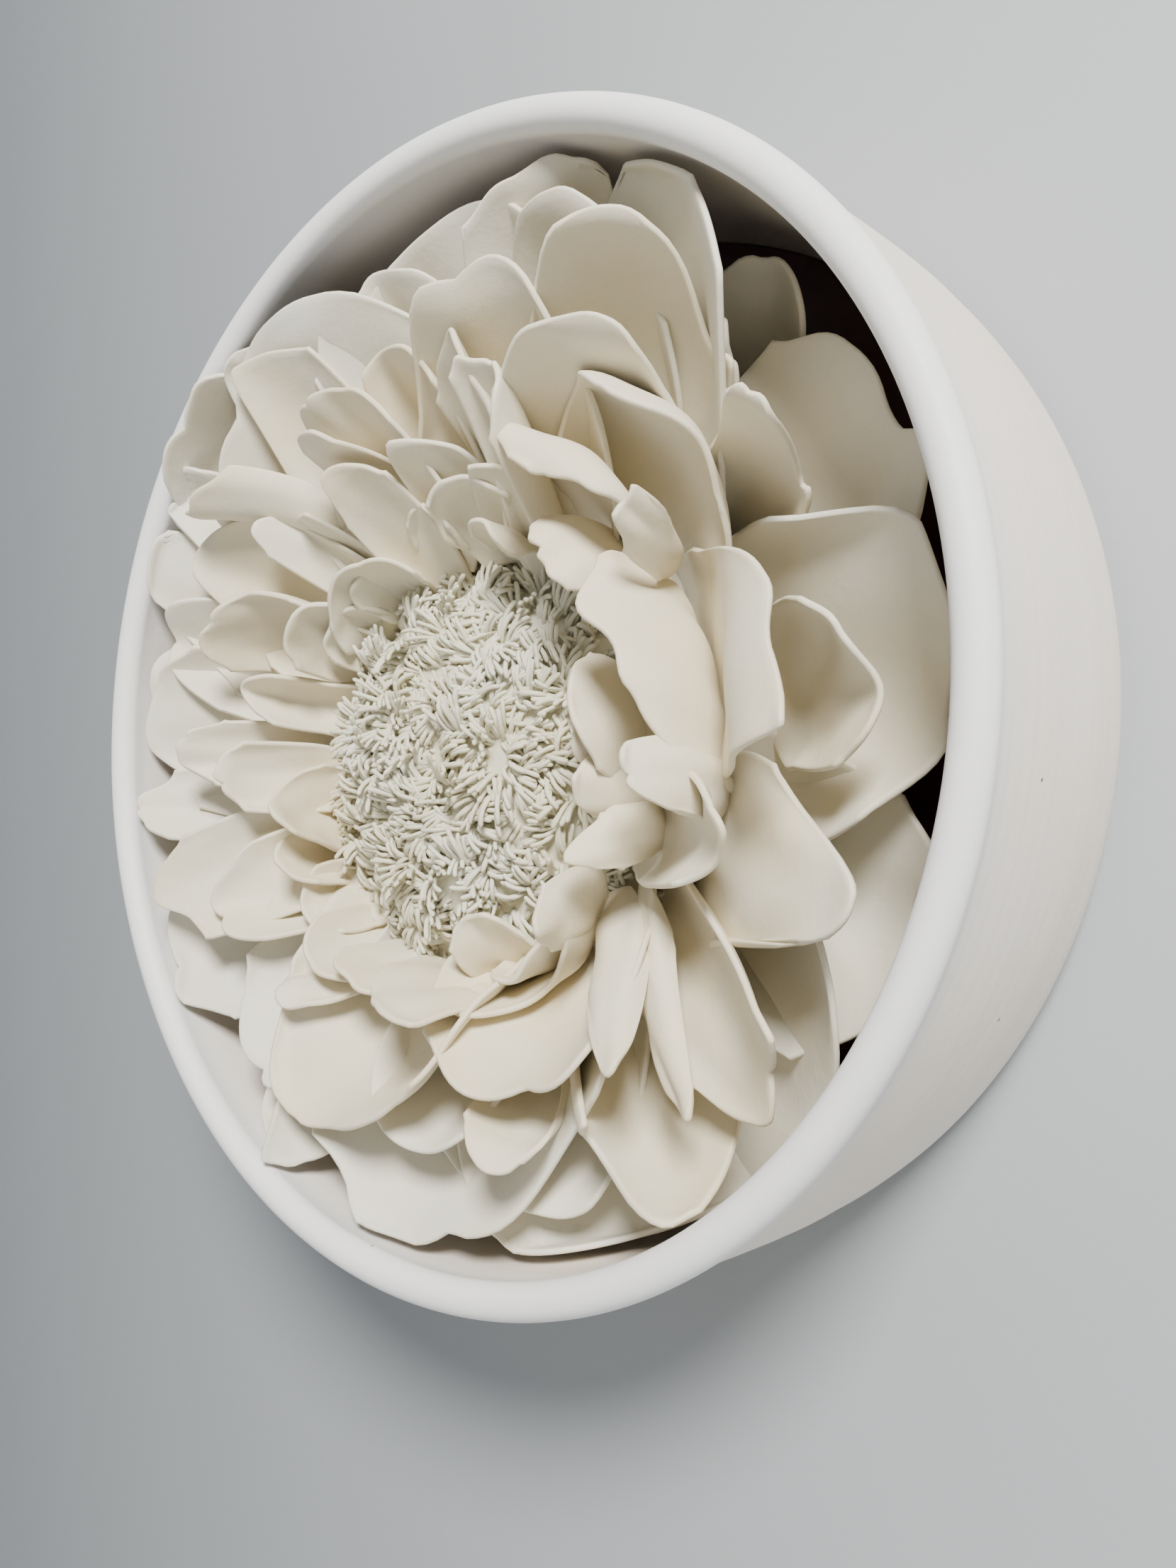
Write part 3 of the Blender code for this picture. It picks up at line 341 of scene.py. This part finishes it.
def petal_grid(p, rng):
    """The middle surface of a petal, in millimetres."""
    base, chord, ahead, aside, inward = petal_axes(p)
    step, straight, raised, direction = spine(p["bow"], p["curl"])
    u = np.linspace(-1.0, 1.0, COLUMNS)
    u = np.sign(u) * (1.0 - (1.0 - np.abs(u)) ** 1.15)
    v = 1.0 - (1.0 - np.linspace(0.0, 1.0, ROWS)) ** 1.15
    count = p.get("count", rng.uniform(3.2, 4.8) + p.get("lobes", 2) - 2)
    depth = p.get("depth", DEPTHS[p["whorl"]])
    waist = p.get("waist", 0.5)
    blunt = p.get("blunt", 0.94)
    wave = p.get("wave", WAVES[p["whorl"]])
    waves = rng.uniform(1.0, 2.2, 6)
    turns = rng.uniform(0.0, 2.0 * math.pi, 8)
    notch = p.get("notch")
    ends = p.get("ends")
    half_full = p["width"] / 2.0
    grid = np.zeros((ROWS, COLUMNS, 3))
    for i, share in enumerate(v):
        side, along, lift = section(p["cup"], p.get("fold", (0.0, 0.0)), share)
        blade = waist + (1.0 - waist) * math.sin(math.pi / 2.0 * min(share / 0.58, 1.0)) ** 1.3
        half = half_full * blade * (1.0 - (1.0 - blunt) * max(0.0, (share - 0.7) / 0.3) ** 2)
        outline = margin(u, share, count, turns[0:2])
        edge = 1.0 + depth * outline * ramp((share - 0.2) / 0.4)
        place = share * (through(u, ends) if ends else 1.0 - ROUND_OFF * np.abs(u) ** 3.2)
        place = place + depth * outline * share ** 3
        if notch is not None:
            place = place - NOTCH_DEPTH * np.exp(-((u - notch) / NOTCH_WIDTH) ** 2) * share ** 5
        x = np.interp(place, step, straight) + np.clip(place - 1.0, 0.0, 1.0)
        y = np.interp(place, step, raised)
        angle = np.interp(place, step, direction)
        normal = np.cos(angle)[:, None] * inward - np.sin(angle)[:, None] * ahead
        rimness = np.maximum(np.abs(u) ** 3 * ramp(share / 0.4), ramp((share - 0.55) / 0.45) ** 1.5)
        around = np.arctan2(u, 1.5 * (share - 0.42))
        ruffle = wave * rimness * (np.sin(0.62 * count * around + turns[3])
                                   + 0.5 * np.sin(1.1 * count * around + turns[4])) / 1.2
        swell = 0.022 * half_full * (np.sin(waves[0] * 3.0 * u + waves[1] * 4.0 * share + turns[5])
                                     + 0.7 * np.sin(waves[2] * 4.0 * u - waves[3] * 6.0 * share + turns[6]))
        grid[i] = base + chord * (x[:, None] * ahead + y[:, None] * inward)
        grid[i] += (half * edge * np.interp(u, side, along))[:, None] * aside
        grid[i] += (half * np.interp(u, side, lift) + ruffle + swell * ramp(share / 0.2))[:, None] * normal
    return grid


def to_world(points):
    """From the flower's millimetres to metres in the frame, kept inside the hoop."""
    moved = np.asarray(points, dtype=float) + np.array([AXIS[0], 0.0, AXIS[1]])
    moved = moved * SCALE
    moved[..., 1] -= (BOARD_THICKNESS + FIT_GAP) - FLOWER_UNDERSIDE * SCALE
    limit = RING_OUTER_RADIUS - LIP_THICKNESS - PETAL_CLEARANCE
    radius = np.hypot(moved[..., 0], moved[..., 2])
    share = np.minimum(1.0, limit / np.maximum(radius, limit))
    moved[..., 0] *= share
    moved[..., 2] *= share
    return moved


def petal_mesh(p, rng):
    """A petal as a closed sheet, thinner at its round edge: points in metres and faces."""
    grid = to_world(petal_grid(p, rng))
    rows, columns = grid.shape[:2]
    normal = np.cross(np.gradient(grid, axis=0), np.gradient(grid, axis=1))
    normal /= np.linalg.norm(normal, axis=-1, keepdims=True) + 1e-12
    u = np.abs(np.linspace(-1.0, 1.0, columns))[None, :]
    v = np.linspace(0.0, 1.0, rows)[:, None]
    near_edge = np.maximum(ramp((u - 0.6) / 0.4), ramp((v - 0.7) / 0.3))
    thick = (THICK + (RIM_THICK - THICK) * near_edge) * 0.001
    offset = normal * (thick / 2.0)[..., None]
    rim = [(0, j) for j in range(columns)]
    rim += [(i, columns - 1) for i in range(1, rows)]
    rim += [(rows - 1, j) for j in range(columns - 2, -1, -1)]
    rim += [(i, 0) for i in range(rows - 2, 0, -1)]
    ri = np.array([r[0] for r in rim])
    rj = np.array([r[1] for r in rim])
    edge_points = grid[ri, rj]
    inner = grid[np.clip(ri, 1, rows - 2), np.clip(rj, 1, columns - 2)]
    outward = edge_points - inner
    n = normal[ri, rj]
    outward -= (outward * n).sum(1)[:, None] * n
    outward /= np.linalg.norm(outward, axis=1)[:, None] + 1e-12
    half = (thick[ri, rj] / 2.0)[:, None]
    bands = [edge_points + half * (math.cos(a) * n + 0.9 * math.sin(a) * outward)
             for a in (math.pi / 4.0, math.pi / 2.0, 3.0 * math.pi / 4.0)]
    verts = np.concatenate([(grid + offset).reshape(-1, 3), (grid - offset).reshape(-1, 3)] + bands)
    count = rows * columns
    i, j = np.meshgrid(np.arange(rows - 1), np.arange(columns - 1), indexing="ij")
    a = (i * columns + j).ravel()
    b = a + columns
    top = np.stack([a, b, b + 1, a + 1], 1)
    under = np.stack([count + a, count + a + 1, count + b + 1, count + b], 1)
    faces = [top, under]
    loop = ri * columns + rj
    size = len(loop)
    lines = [loop] + [2 * count + k * size + np.arange(size) for k in range(3)] + [count + loop]
    for first, second in zip(lines, lines[1:]):
        faces.append(np.stack([first, np.roll(first, -1), np.roll(second, -1), second], 1))
    return verts, np.concatenate(faces)


def add_mesh(name, parts, mat, smooth_angle=None):
    """One object from several (points, faces) parts."""
    verts = []
    faces = []
    first = 0
    for points, sides in parts:
        verts.append(np.asarray(points))
        faces += (np.asarray(sides) + first).tolist() if isinstance(sides, np.ndarray) else [
            [first + k for k in side] for side in sides]
        first += len(points)
    mesh = bpy.data.meshes.new(name)
    mesh.from_pydata(np.concatenate(verts).tolist(), [], faces)
    mesh.validate()
    mesh.shade_smooth()
    if smooth_angle:
        mesh.set_sharp_from_angle(angle=math.radians(smooth_angle))
    mesh.materials.append(mat)
    obj = bpy.data.objects.new(name, mesh)
    bpy.context.scene.collection.objects.link(obj)
    return obj


def turned(profile, segments, axis=(0.0, 0.0), wobble=0.0, closed=False):
    """A shape of revolution about an axis along Y; the profile's points are (radius, height)."""
    verts = []
    rings = []
    for radius, height in profile:
        if radius == 0.0:
            rings.append([len(verts)] * segments)
            verts.append((axis[0], -height, axis[1]))
            continue
        rings.append(range(len(verts), len(verts) + segments))
        for k in range(segments):
            t = 2.0 * math.pi * k / segments
            r = radius + wobble * (math.sin(2 * t + 0.7) + 0.6 * math.sin(3 * t + 2.1)
                                   + 0.35 * math.sin(7 * t + 90.0 * height))
            h = height + (wobble * 0.8 * math.sin(2 * t + 1.9) if height > 0.05 else 0.0)
            verts.append((axis[0] + r * math.cos(t), -h, axis[1] + r * math.sin(t)))
    pairs = list(zip(rings, rings[1:]))
    if closed:
        pairs.append((rings[-1], rings[0]))
    faces = []
    for low, high in pairs:
        for k in range(segments):
            j = (k + 1) % segments
            face = []
            for index in (low[k], low[j], high[j], high[k]):
                if index not in face:
                    face.append(index)
            faces.append(face)
    return verts, faces


def ring_profile():
    """The hoop's section, finer than in the solids."""
    bead = LIP_THICKNESS / 2.0
    bead_radius = RING_OUTER_RADIUS - bead
    bead_height = RING_DEPTH - bead
    inner = RING_OUTER_RADIUS - WALL_THICKNESS
    belly = RING_OUTER_RADIUS + BELLY_RISE
    neck = RING_OUTER_RADIUS - NECK_DIP
    outer = ((RING_OUTER_RADIUS - FOOT_INSET, 0.0), (belly - FOOT_INSET * 0.35, FOOT_HEIGHT * 0.45),
             (belly - FOOT_INSET * 0.1, FOOT_HEIGHT), (belly, RING_DEPTH * 0.32),
             (RING_OUTER_RADIUS, RING_DEPTH * 0.6), (neck, bead_height - bead * 2.4),
             (neck, bead_height - bead * 1.2))
    heights = np.array([h for r, h in outer])
    radii = np.array([r for r, h in outer])
    points = [(RING_OUTER_RADIUS - FOOT_INSET, 0.0)]
    for h in np.linspace(0.0, heights[-1], 34)[1:]:
        spread = np.interp(np.linspace(h - 0.004, h + 0.004, 9), heights, radii).mean()
        points.append((spread + 0.00012 * math.sin(h * 900.0), h))
    first, last = math.radians(-18.0), math.radians(208.0)
    for k in range(19):
        a = first + (last - first) * k / 18.0
        points.append((bead_radius + bead * math.cos(a), bead_height + bead * math.sin(a)))
    for h in np.linspace(bead_height - bead * 1.4, 0.0, 22):
        r = inner - 0.0006 * ramp((h - (bead_height - bead * 4.0)) / (bead * 2.6))
        points.append((float(r), float(h)))
    return points


def shader_tree(name):
    """A new material with its node tree and its shader."""
    mat = bpy.data.materials.new(name)
    mat.use_nodes = True
    tree = mat.node_tree
    return mat, tree, tree.nodes["Principled BSDF"]


def node(tree, kind, **values):
    """A new shader node with its inputs or settings."""
    made = tree.nodes.new(kind)
    for key, value in values.items():
        if key in made.inputs:
            made.inputs[key].default_value = value
        else:
            setattr(made, key, value)
    return made


def noise(tree, where, scale, detail=4.0, rough=0.55):
    """Cloudy noise at a place, about 0.5 on average."""
    made = node(tree, "ShaderNodeTexNoise", Scale=scale, Detail=detail, Roughness=rough)
    tree.links.new(where, made.inputs["Vector"])
    return made.outputs["Fac"]


def ranged(tree, value, low, high, to_low=0.0, to_high=1.0):
    """A value brought from one range to another."""
    made = tree.nodes.new("ShaderNodeMapRange")
    made.inputs["From Min"].default_value = low
    made.inputs["From Max"].default_value = high
    made.inputs["To Min"].default_value = to_low
    made.inputs["To Max"].default_value = to_high
    tree.links.new(value, made.inputs["Value"])
    return made.outputs["Result"]


def mixed(tree, factor, first, second):
    """A mix of two colours; each of the three may be a plain value or a node's output."""
    made = tree.nodes.new("ShaderNodeMix")
    made.data_type = "RGBA"
    for value, socket in ((factor, made.inputs[0]), (first, made.inputs[6]), (second, made.inputs[7])):
        if isinstance(value, (tuple, float, int)):
            socket.default_value = (*value, 1.0) if isinstance(value, tuple) else value
        else:
            tree.links.new(value, socket)
    return made.outputs[2]


def specks(tree, where, scale, size, share):
    """Sparse round dots, 1 inside a dot: one in a few of the cells of a Voronoi pattern."""
    cells = node(tree, "ShaderNodeTexVoronoi", Scale=scale)
    tree.links.new(where, cells.inputs["Vector"])
    dot = ranged(tree, cells.outputs["Distance"], size, size * 0.55)
    split = tree.nodes.new("ShaderNodeSeparateColor")
    tree.links.new(cells.outputs["Color"], split.inputs["Color"])
    chosen = node(tree, "ShaderNodeMath", operation="LESS_THAN")
    chosen.inputs[1].default_value = share
    tree.links.new(split.outputs[0], chosen.inputs[0])
    both = node(tree, "ShaderNodeMath", operation="MULTIPLY")
    tree.links.new(dot, both.inputs[0])
    tree.links.new(chosen.outputs[0], both.inputs[1])
    return both.outputs[0]


def bumps(tree, shader, heights):
    """Bump from several heights, each (value, strength, distance in metres)."""
    last = None
    for value, strength, distance in heights:
        bump = node(tree, "ShaderNodeBump", Strength=strength, Distance=distance)
        tree.links.new(value, bump.inputs["Height"])
        if last:
            tree.links.new(last, bump.inputs["Normal"])
        last = bump.outputs["Normal"]
    tree.links.new(last, shader.inputs["Normal"])


def place(tree):
    """The place on the object, in metres."""
    return tree.nodes.new("ShaderNodeTexCoord").outputs["Object"]


def porcelain(name, warm, cool, rough, grain=1.0, speck_share=0.02, soft=0.12):
    """Bare fired porcelain: two close tints in soft patches, fine grain, slight lumps, rare dark specks."""
    mat, tree, shader = shader_tree(name)
    where = place(tree)
    patch = ranged(tree, noise(tree, where, 22.0, 3.0), 0.36, 0.64)
    tint = mixed(tree, patch, warm, cool)
    fine = noise(tree, where, 900.0, 3.0, 0.6)
    tint = mixed(tree, ranged(tree, fine, 0.3, 0.7, 0.0, 0.10 * grain), tint, tuple(0.72 * c for c in warm))
    dots = specks(tree, where, 150.0, 0.055, speck_share)
    tint = mixed(tree, dots, tint, (0.16, 0.13, 0.10))
    tree.links.new(tint, shader.inputs["Base Color"])
    tree.links.new(ranged(tree, fine, 0.3, 0.7, rough - 0.06, rough + 0.08), shader.inputs["Roughness"])
    shader.inputs["Specular IOR Level"].default_value = 0.35
    shader.inputs["Subsurface Weight"].default_value = soft
    shader.inputs["Subsurface Radius"].default_value = (1.0, 0.8, 0.55)
    shader.inputs["Subsurface Scale"].default_value = 0.0016
    lumps = noise(tree, where, 130.0, 3.0)
    bumps(tree, shader, ((lumps, 0.35, 0.0007), (fine, 0.25 * grain, 0.00025)))
    return mat


def hoop_porcelain():
    """The hoop: cream on its wall, its lip painted whiter and cooler as a reflection of the sky, pinholes
    on the lip, faint turning marks.
    """
    mat, tree, shader = shader_tree("hoop_porcelain")
    where = place(tree)
    split = tree.nodes.new("ShaderNodeSeparateXYZ")
    tree.links.new(where, split.inputs[0])
    patch = ranged(tree, noise(tree, where, 14.0, 3.0), 0.35, 0.65)
    wall = mixed(tree, patch, (0.83, 0.755, 0.655), (0.85, 0.785, 0.695))
    # painted reflection: the lip's whiter, cooler tint stands for the sky reflected in it
    lip = mixed(tree, patch, (0.845, 0.835, 0.82), (0.86, 0.855, 0.845))
    tint = mixed(tree, ranged(tree, split.outputs["Y"], -0.078, -0.094), wall, lip)
    holes = specks(tree, where, 120.0, 0.075, 0.05)
    tint = mixed(tree, holes, tint, (0.12, 0.10, 0.085))
    fine = noise(tree, where, 700.0, 3.0, 0.6)
    tint = mixed(tree, ranged(tree, fine, 0.3, 0.7, 0.0, 0.07), tint, (0.6, 0.55, 0.48))
    tree.links.new(tint, shader.inputs["Base Color"])
    tree.links.new(ranged(tree, fine, 0.3, 0.7, 0.48, 0.62), shader.inputs["Roughness"])
    shader.inputs["Specular IOR Level"].default_value = 0.4
    shader.inputs["Subsurface Weight"].default_value = 0.08
    shader.inputs["Subsurface Radius"].default_value = (1.0, 0.85, 0.65)
    shader.inputs["Subsurface Scale"].default_value = 0.0015
    stretched = node(tree, "ShaderNodeMapping")
    stretched.inputs["Scale"].default_value = (9.0, 260.0, 9.0)
    tree.links.new(where, stretched.inputs["Vector"])
    turning = noise(tree, stretched.outputs[0], 1.0, 2.0)
    lumps = noise(tree, where, 60.0, 3.0)
    sunk = node(tree, "ShaderNodeMath", operation="SUBTRACT")
    sunk.inputs[0].default_value = 1.0
    tree.links.new(holes, sunk.inputs[1])
    bumps(tree, shader, ((turning, 0.16, 0.0004), (lumps, 0.3, 0.0006), (fine, 0.2, 0.00022),
                         (sunk.outputs[0], 0.7, 0.0006)))
    return mat


def maroon_satin():
    """The board: dark maroon satin paint with faint brushing."""
    mat, tree, shader = shader_tree("maroon_satin")
    where = place(tree)
    cloud = noise(tree, where, 30.0, 3.0)
    tint = mixed(tree, ranged(tree, cloud, 0.35, 0.65), (0.040, 0.0075, 0.0085), (0.055, 0.011, 0.012))
    tree.links.new(tint, shader.inputs["Base Color"])
    tree.links.new(ranged(tree, cloud, 0.3, 0.7, 0.34, 0.46), shader.inputs["Roughness"])
    fine = noise(tree, where, 420.0, 4.0)
    bumps(tree, shader, ((fine, 0.25, 0.0003),))
    return mat


def backdrop_paint():
    """A pale wall behind the part, painted darker towards the left as shade where the light falls off,
    clear from behind, so that it never hides the part's back.
    """
    mat, tree, shader = shader_tree("backdrop_paint")
    shader.inputs["Roughness"].default_value = 0.8
    where = place(tree)
    across = tree.nodes.new("ShaderNodeSeparateXYZ")
    tree.links.new(where, across.inputs[0])
    # painted shade: the wall darkens towards the left as the light from the right falls off
    painted_falloff = ranged(tree, across.outputs["X"], -0.75, 0.45)
    tint = mixed(tree, painted_falloff, (0.145, 0.162, 0.176), (0.47, 0.49, 0.505))
    tree.links.new(tint, shader.inputs["Base Color"])
    bumps(tree, shader, ((noise(tree, where, 260.0, 3.0), 0.2, 0.0004),))
    facing = tree.nodes.new("ShaderNodeNewGeometry")
    clear = tree.nodes.new("ShaderNodeBsdfTransparent")
    mix = tree.nodes.new("ShaderNodeMixShader")
    tree.links.new(facing.outputs["Backfacing"], mix.inputs[0])
    tree.links.new(shader.outputs[0], mix.inputs[1])
    tree.links.new(clear.outputs[0], mix.inputs[2])
    tree.links.new(mix.outputs[0], tree.nodes["Material Output"].inputs["Surface"])
    return mat


def floor_paint():
    """A pale plain floor."""
    mat, tree, shader = shader_tree("floor_paint")
    shader.inputs["Base Color"].default_value = (0.72, 0.73, 0.74, 1.0)
    shader.inputs["Roughness"].default_value = 0.7
    return mat


def plane(name, corners, mat):
    """One flat face of the stage."""
    mesh = bpy.data.meshes.new(name)
    mesh.from_pydata(corners, [], [(0, 1, 2, 3)])
    mesh.materials.append(mat)
    obj = bpy.data.objects.new(name, mesh)
    bpy.context.scene.collection.objects.link(obj)
    return obj


def strands(start, ahead, toward, length, radius, curl, sway, steps=6, sides=5):
    """Round threads side by side, one for each row of the arrays: points and faces of them all."""
    count = len(start)
    axis = np.cross(ahead, toward)
    axis /= np.linalg.norm(axis, axis=1)[:, None] + 1e-9
    toward = np.cross(axis, ahead)
    point = start.copy()
    path = [point]
    ways = []
    for k in range(steps):
        t = (k + 0.5) / steps
        angle = (curl * t ** 1.2)[:, None]
        way = ahead * np.cos(angle) + toward * np.sin(angle) + axis * (sway * math.sin(4.0 * t))[:, None]
        way /= np.linalg.norm(way, axis=1)[:, None]
        ways.append(way)
        point = point + way * (length / steps)[:, None]
        path.append(point)
    ways.append(ways[-1])
    path.append(path[-1] + ways[-1] * (radius * 0.7)[:, None])
    ways.append(ways[-1])
    rings = []
    for k, (point, way) in enumerate(zip(path, ways)):
        side = np.cross(axis, way)
        size = radius * (0.55 if k == steps + 1 else 1.0 + 0.12 * math.sin(2.6 * k))
        for j in range(sides):
            a = 2.0 * math.pi * j / sides
            rings.append(point + size[:, None] * (math.cos(a) * axis + math.sin(a) * side))
    verts = np.stack(rings + [path[-1] + ways[-1] * (radius * 0.35)[:, None]], 1)
    each = verts.shape[1]
    faces = []
    for k in range(steps + 1):
        for j in range(sides):
            m = (j + 1) % sides
            a = k * sides
            faces.append((a + j, a + m, a + sides + m, a + sides + j))
    for j in range(sides):
        top = (steps + 1) * sides
        faces.append((top + j, top + (j + 1) % sides, each - 1))
    whole = []
    for n in range(count):
        whole += [tuple(n * each + v for v in face) for face in faces]
        whole.append(tuple(n * each + j for j in range(sides - 1, -1, -1)))
    return verts.reshape(-1, 3), whole


def dome(r):
    """Height and slope of the thread dome's base at a distance from the flower's axis, in millimetres."""
    h = np.interp(r, DOME_RADII, DOME_HEIGHTS)
    farther = np.interp(r + 2.0, DOME_RADII, DOME_HEIGHTS)
    nearer = np.interp(r - 2.0, DOME_RADII, DOME_HEIGHTS)
    return h, (farther - nearer) / 4.0


def thread_sheaves(rng, first, last):
    """Sheaves of extruded threads: each rises as one bundle, fans a little and curls over one way."""
    starts, aheads, towards, lengths, radii, curls, sways = [], [], [], [], [], [], []
    for k in range(first, last):
        r = DOME_REACH * math.sqrt((k + 0.5) / SHEAVES)
        a = k * GOLDEN_ANGLE + rng.uniform(-0.1, 0.1)
        x = r * math.cos(a) + rng.uniform(-1.8, 1.8)
        z = r * math.sin(a) + rng.uniform(-1.8, 1.8)
        r = math.hypot(x, z)
        h, slope = dome(r)
        out = np.array([x, 0.0, z]) / max(r, 1e-6)
        normal = -slope * out + np.array([0.0, -1.0, 0.0])
        normal /= np.linalg.norm(normal)
        angle = a + rng.normal(0.0, 1.5)
        lean = np.array([math.cos(angle), 0.0, math.sin(angle)])
        lean -= lean.dot(normal) * normal
        lean /= np.linalg.norm(lean)
        across = np.cross(normal, lean)
        centre = np.array([x + DOME_SHIFT[0], -h, z + DOME_SHIFT[1]]) - normal * rng.uniform(1.5, 4.5)
        rise = normal + lean * rng.uniform(-0.1, 0.7)
        rise /= np.linalg.norm(rise)
        curl = math.radians(rng.uniform(35.0, 150.0))
        length = rng.uniform(9.5, 14.5)
        threads = int(rng.integers(8, 13))
        spread = rng.uniform(0.55, 1.25)
        for s in range(threads):
            fan = (s - (threads - 1) / 2.0) / threads
            back = rng.uniform(-1.5, 1.5)
            way = rise + across * fan * spread + lean * back * 0.10
            starts.append(centre + across * fan * 6.0 + lean * back)
            aheads.append(way / np.linalg.norm(way))
            towards.append(lean + across * (fan * 1.3 * spread + rng.normal(0.0, 0.12)))
            lengths.append(length * rng.uniform(0.78, 1.12))
            radii.append(rng.uniform(0.72, 0.98))
            curls.append(curl * rng.uniform(0.8, 1.2))
            sways.append(rng.normal(0.0, 0.16))
    verts, faces = strands(np.array(starts), np.array(aheads), np.array(towards), np.array(lengths),
                           np.array(radii), np.array(curls), np.array(sways))
    return [(to_world(verts), faces)]


def dress(obj, slot, *nodes):
    """Says what a piece rides on and which nodes it stands for; slot, the finish it would take, is not
    used.
    """
    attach(obj, "root")
    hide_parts(*nodes)


def look_camera():
    """The camera at the photograph's angle."""
    azimuth, elevation, roll = (math.radians(a) for a in (39.82, 1.42, 1.46))
    ahead = np.array([-math.sin(azimuth) * math.cos(elevation), math.cos(azimuth) * math.cos(elevation),
                      math.sin(elevation)])
    level = np.cross(ahead, (0.0, 0.0, 1.0))
    level /= np.linalg.norm(level)
    upright = np.cross(level, ahead)
    right = level * math.cos(roll) + upright * math.sin(roll)
    up = np.cross(right, ahead)
    data = bpy.data.cameras.new("camera")
    data.sensor_width = 36.0
    data.lens = 27.03
    data.clip_start = 0.01
    camera = bpy.data.objects.new("camera", data)
    turn = Matrix((right, up, -ahead)).transposed().to_4x4()
    camera.matrix_world = Matrix.Translation((0.2793, -0.3462, -0.032)) @ turn
    bpy.context.scene.collection.objects.link(camera)
    bpy.context.scene.camera = camera


def lamp(name, place_at, size, power, color):
    """A soft round lamp that looks at the middle of the part."""
    data = bpy.data.lights.new(name, "AREA")
    data.shape = "DISK"
    data.size = size
    data.energy = power
    data.color = color
    obj = bpy.data.objects.new(name, data)
    ahead = np.zeros(3) - np.array(place_at)
    ahead /= np.linalg.norm(ahead)
    side = np.cross(ahead, (0.0, 0.0, 1.0))
    side /= np.linalg.norm(side)
    way = Matrix((side, np.cross(side, ahead), -ahead)).transposed().to_4x4()
    obj.matrix_world = Matrix.Translation(place_at) @ way
    bpy.context.scene.collection.objects.link(obj)


def light():
    """A pale studio: even light all round, one lamp from the upper right and a faint one from the left."""
    world = bpy.data.worlds.new("studio")
    bpy.context.scene.world = world
    world.use_nodes = True
    back = world.node_tree.nodes["Background"]
    back.inputs["Color"].default_value = (0.93, 0.94, 0.95, 1.0)
    back.inputs["Strength"].default_value = 0.27
    lamp("key", (1.1, -1.5, 1.3), 0.7, 120.0, (1.0, 0.985, 0.96))
    lamp("fill", (-1.4, -1.6, 0.6), 1.6, 7.0, (0.96, 0.98, 1.0))


def make_petals():
    """The three whorls, a piece for every 26 petals; the outer whorl is the palest."""
    clays = {
        "outer": porcelain("outer_porcelain", (0.745, 0.690, 0.548), (0.752, 0.725, 0.625), 0.6),
        "middle": porcelain("bare_porcelain", (0.745, 0.660, 0.472), (0.745, 0.695, 0.555), 0.58),
        "inner": porcelain("inner_porcelain", (0.745, 0.655, 0.465), (0.745, 0.685, 0.530), 0.56),
    }
    for whorl, clay in clays.items():
        chosen = [p for p in PETALS if p["whorl"] == whorl]
        for k in range(0, len(chosen), PETALS_PER_PIECE):
            group = chosen[k:k + PETALS_PER_PIECE]
            parts = [petal_mesh(p, np.random.default_rng(p["seed"])) for p in group]
            name = f"petals_{whorl}" if k == 0 else f"petals_{whorl}_{k // PETALS_PER_PIECE}"
            dress(add_mesh(name, parts, clay), "bare_porcelain", "flower")


def make_threads():
    """The core and the threads that stand on it."""
    clay = porcelain("thread_porcelain", (0.695, 0.652, 0.488), (0.718, 0.694, 0.570), 0.62, 0.6, 0.0)
    verts, faces = turned(CORE_PROFILE, CORE_SEGMENTS, DOME_SHIFT)
    dress(add_mesh("flower_core", [(to_world(verts), faces)], clay), "bare_porcelain", "flower")
    rng = np.random.default_rng(THREAD_SEED)
    bands = (("threads_middle", 0, INNER_SHEAVES), ("threads_border", INNER_SHEAVES, SHEAVES))
    for name, first, last in bands:
        dress(add_mesh(name, thread_sheaves(rng, first, last), clay), "bare_porcelain", "flower")


def make_hoop():
    """The hoop, turned with a slight wobble."""
    points, faces = turned(ring_profile(), RING_SEGMENTS, wobble=RING_WOBBLE, closed=True)
    hoop = add_mesh("hoop", [(np.array(points), faces)], hoop_porcelain(), 60.0)
    dress(hoop, "ring_porcelain", "frame_ring")


def make_board():
    """The board inside the hoop, its edges a little rounded."""
    radius = RING_OUTER_RADIUS - WALL_THICKNESS - FIT_GAP
    profile = [(0.0, 0.0), (radius - 0.0004, 0.0), (radius, 0.0004),
               (radius, BOARD_THICKNESS - BOARD_EDGE), (radius - BOARD_EDGE, BOARD_THICKNESS),
               (radius * 0.5, BOARD_THICKNESS), (0.0, BOARD_THICKNESS)]
    points, faces = turned(profile, BOARD_SEGMENTS)
    board = add_mesh("board", [(np.array(points), faces)], maroon_satin(), 40.0)
    dress(board, "maroon_board", "back_board")


def make_stage():
    """The wall behind the part and the floor below it."""
    plane("backdrop", [(-3.0, 0.001, -1.6), (3.0, 0.001, -1.6), (3.0, 0.001, 2.0), (-3.0, 0.001, 2.0)],
          backdrop_paint())
    plane("floor", [(-3.0, -3.5, -1.2), (3.0, -3.5, -1.2), (3.0, 0.0, -1.2), (-3.0, 0.0, -1.2)],
          floor_paint())


make_petals()
make_threads()
make_hoop()
make_board()
make_stage()
look_camera()
light()
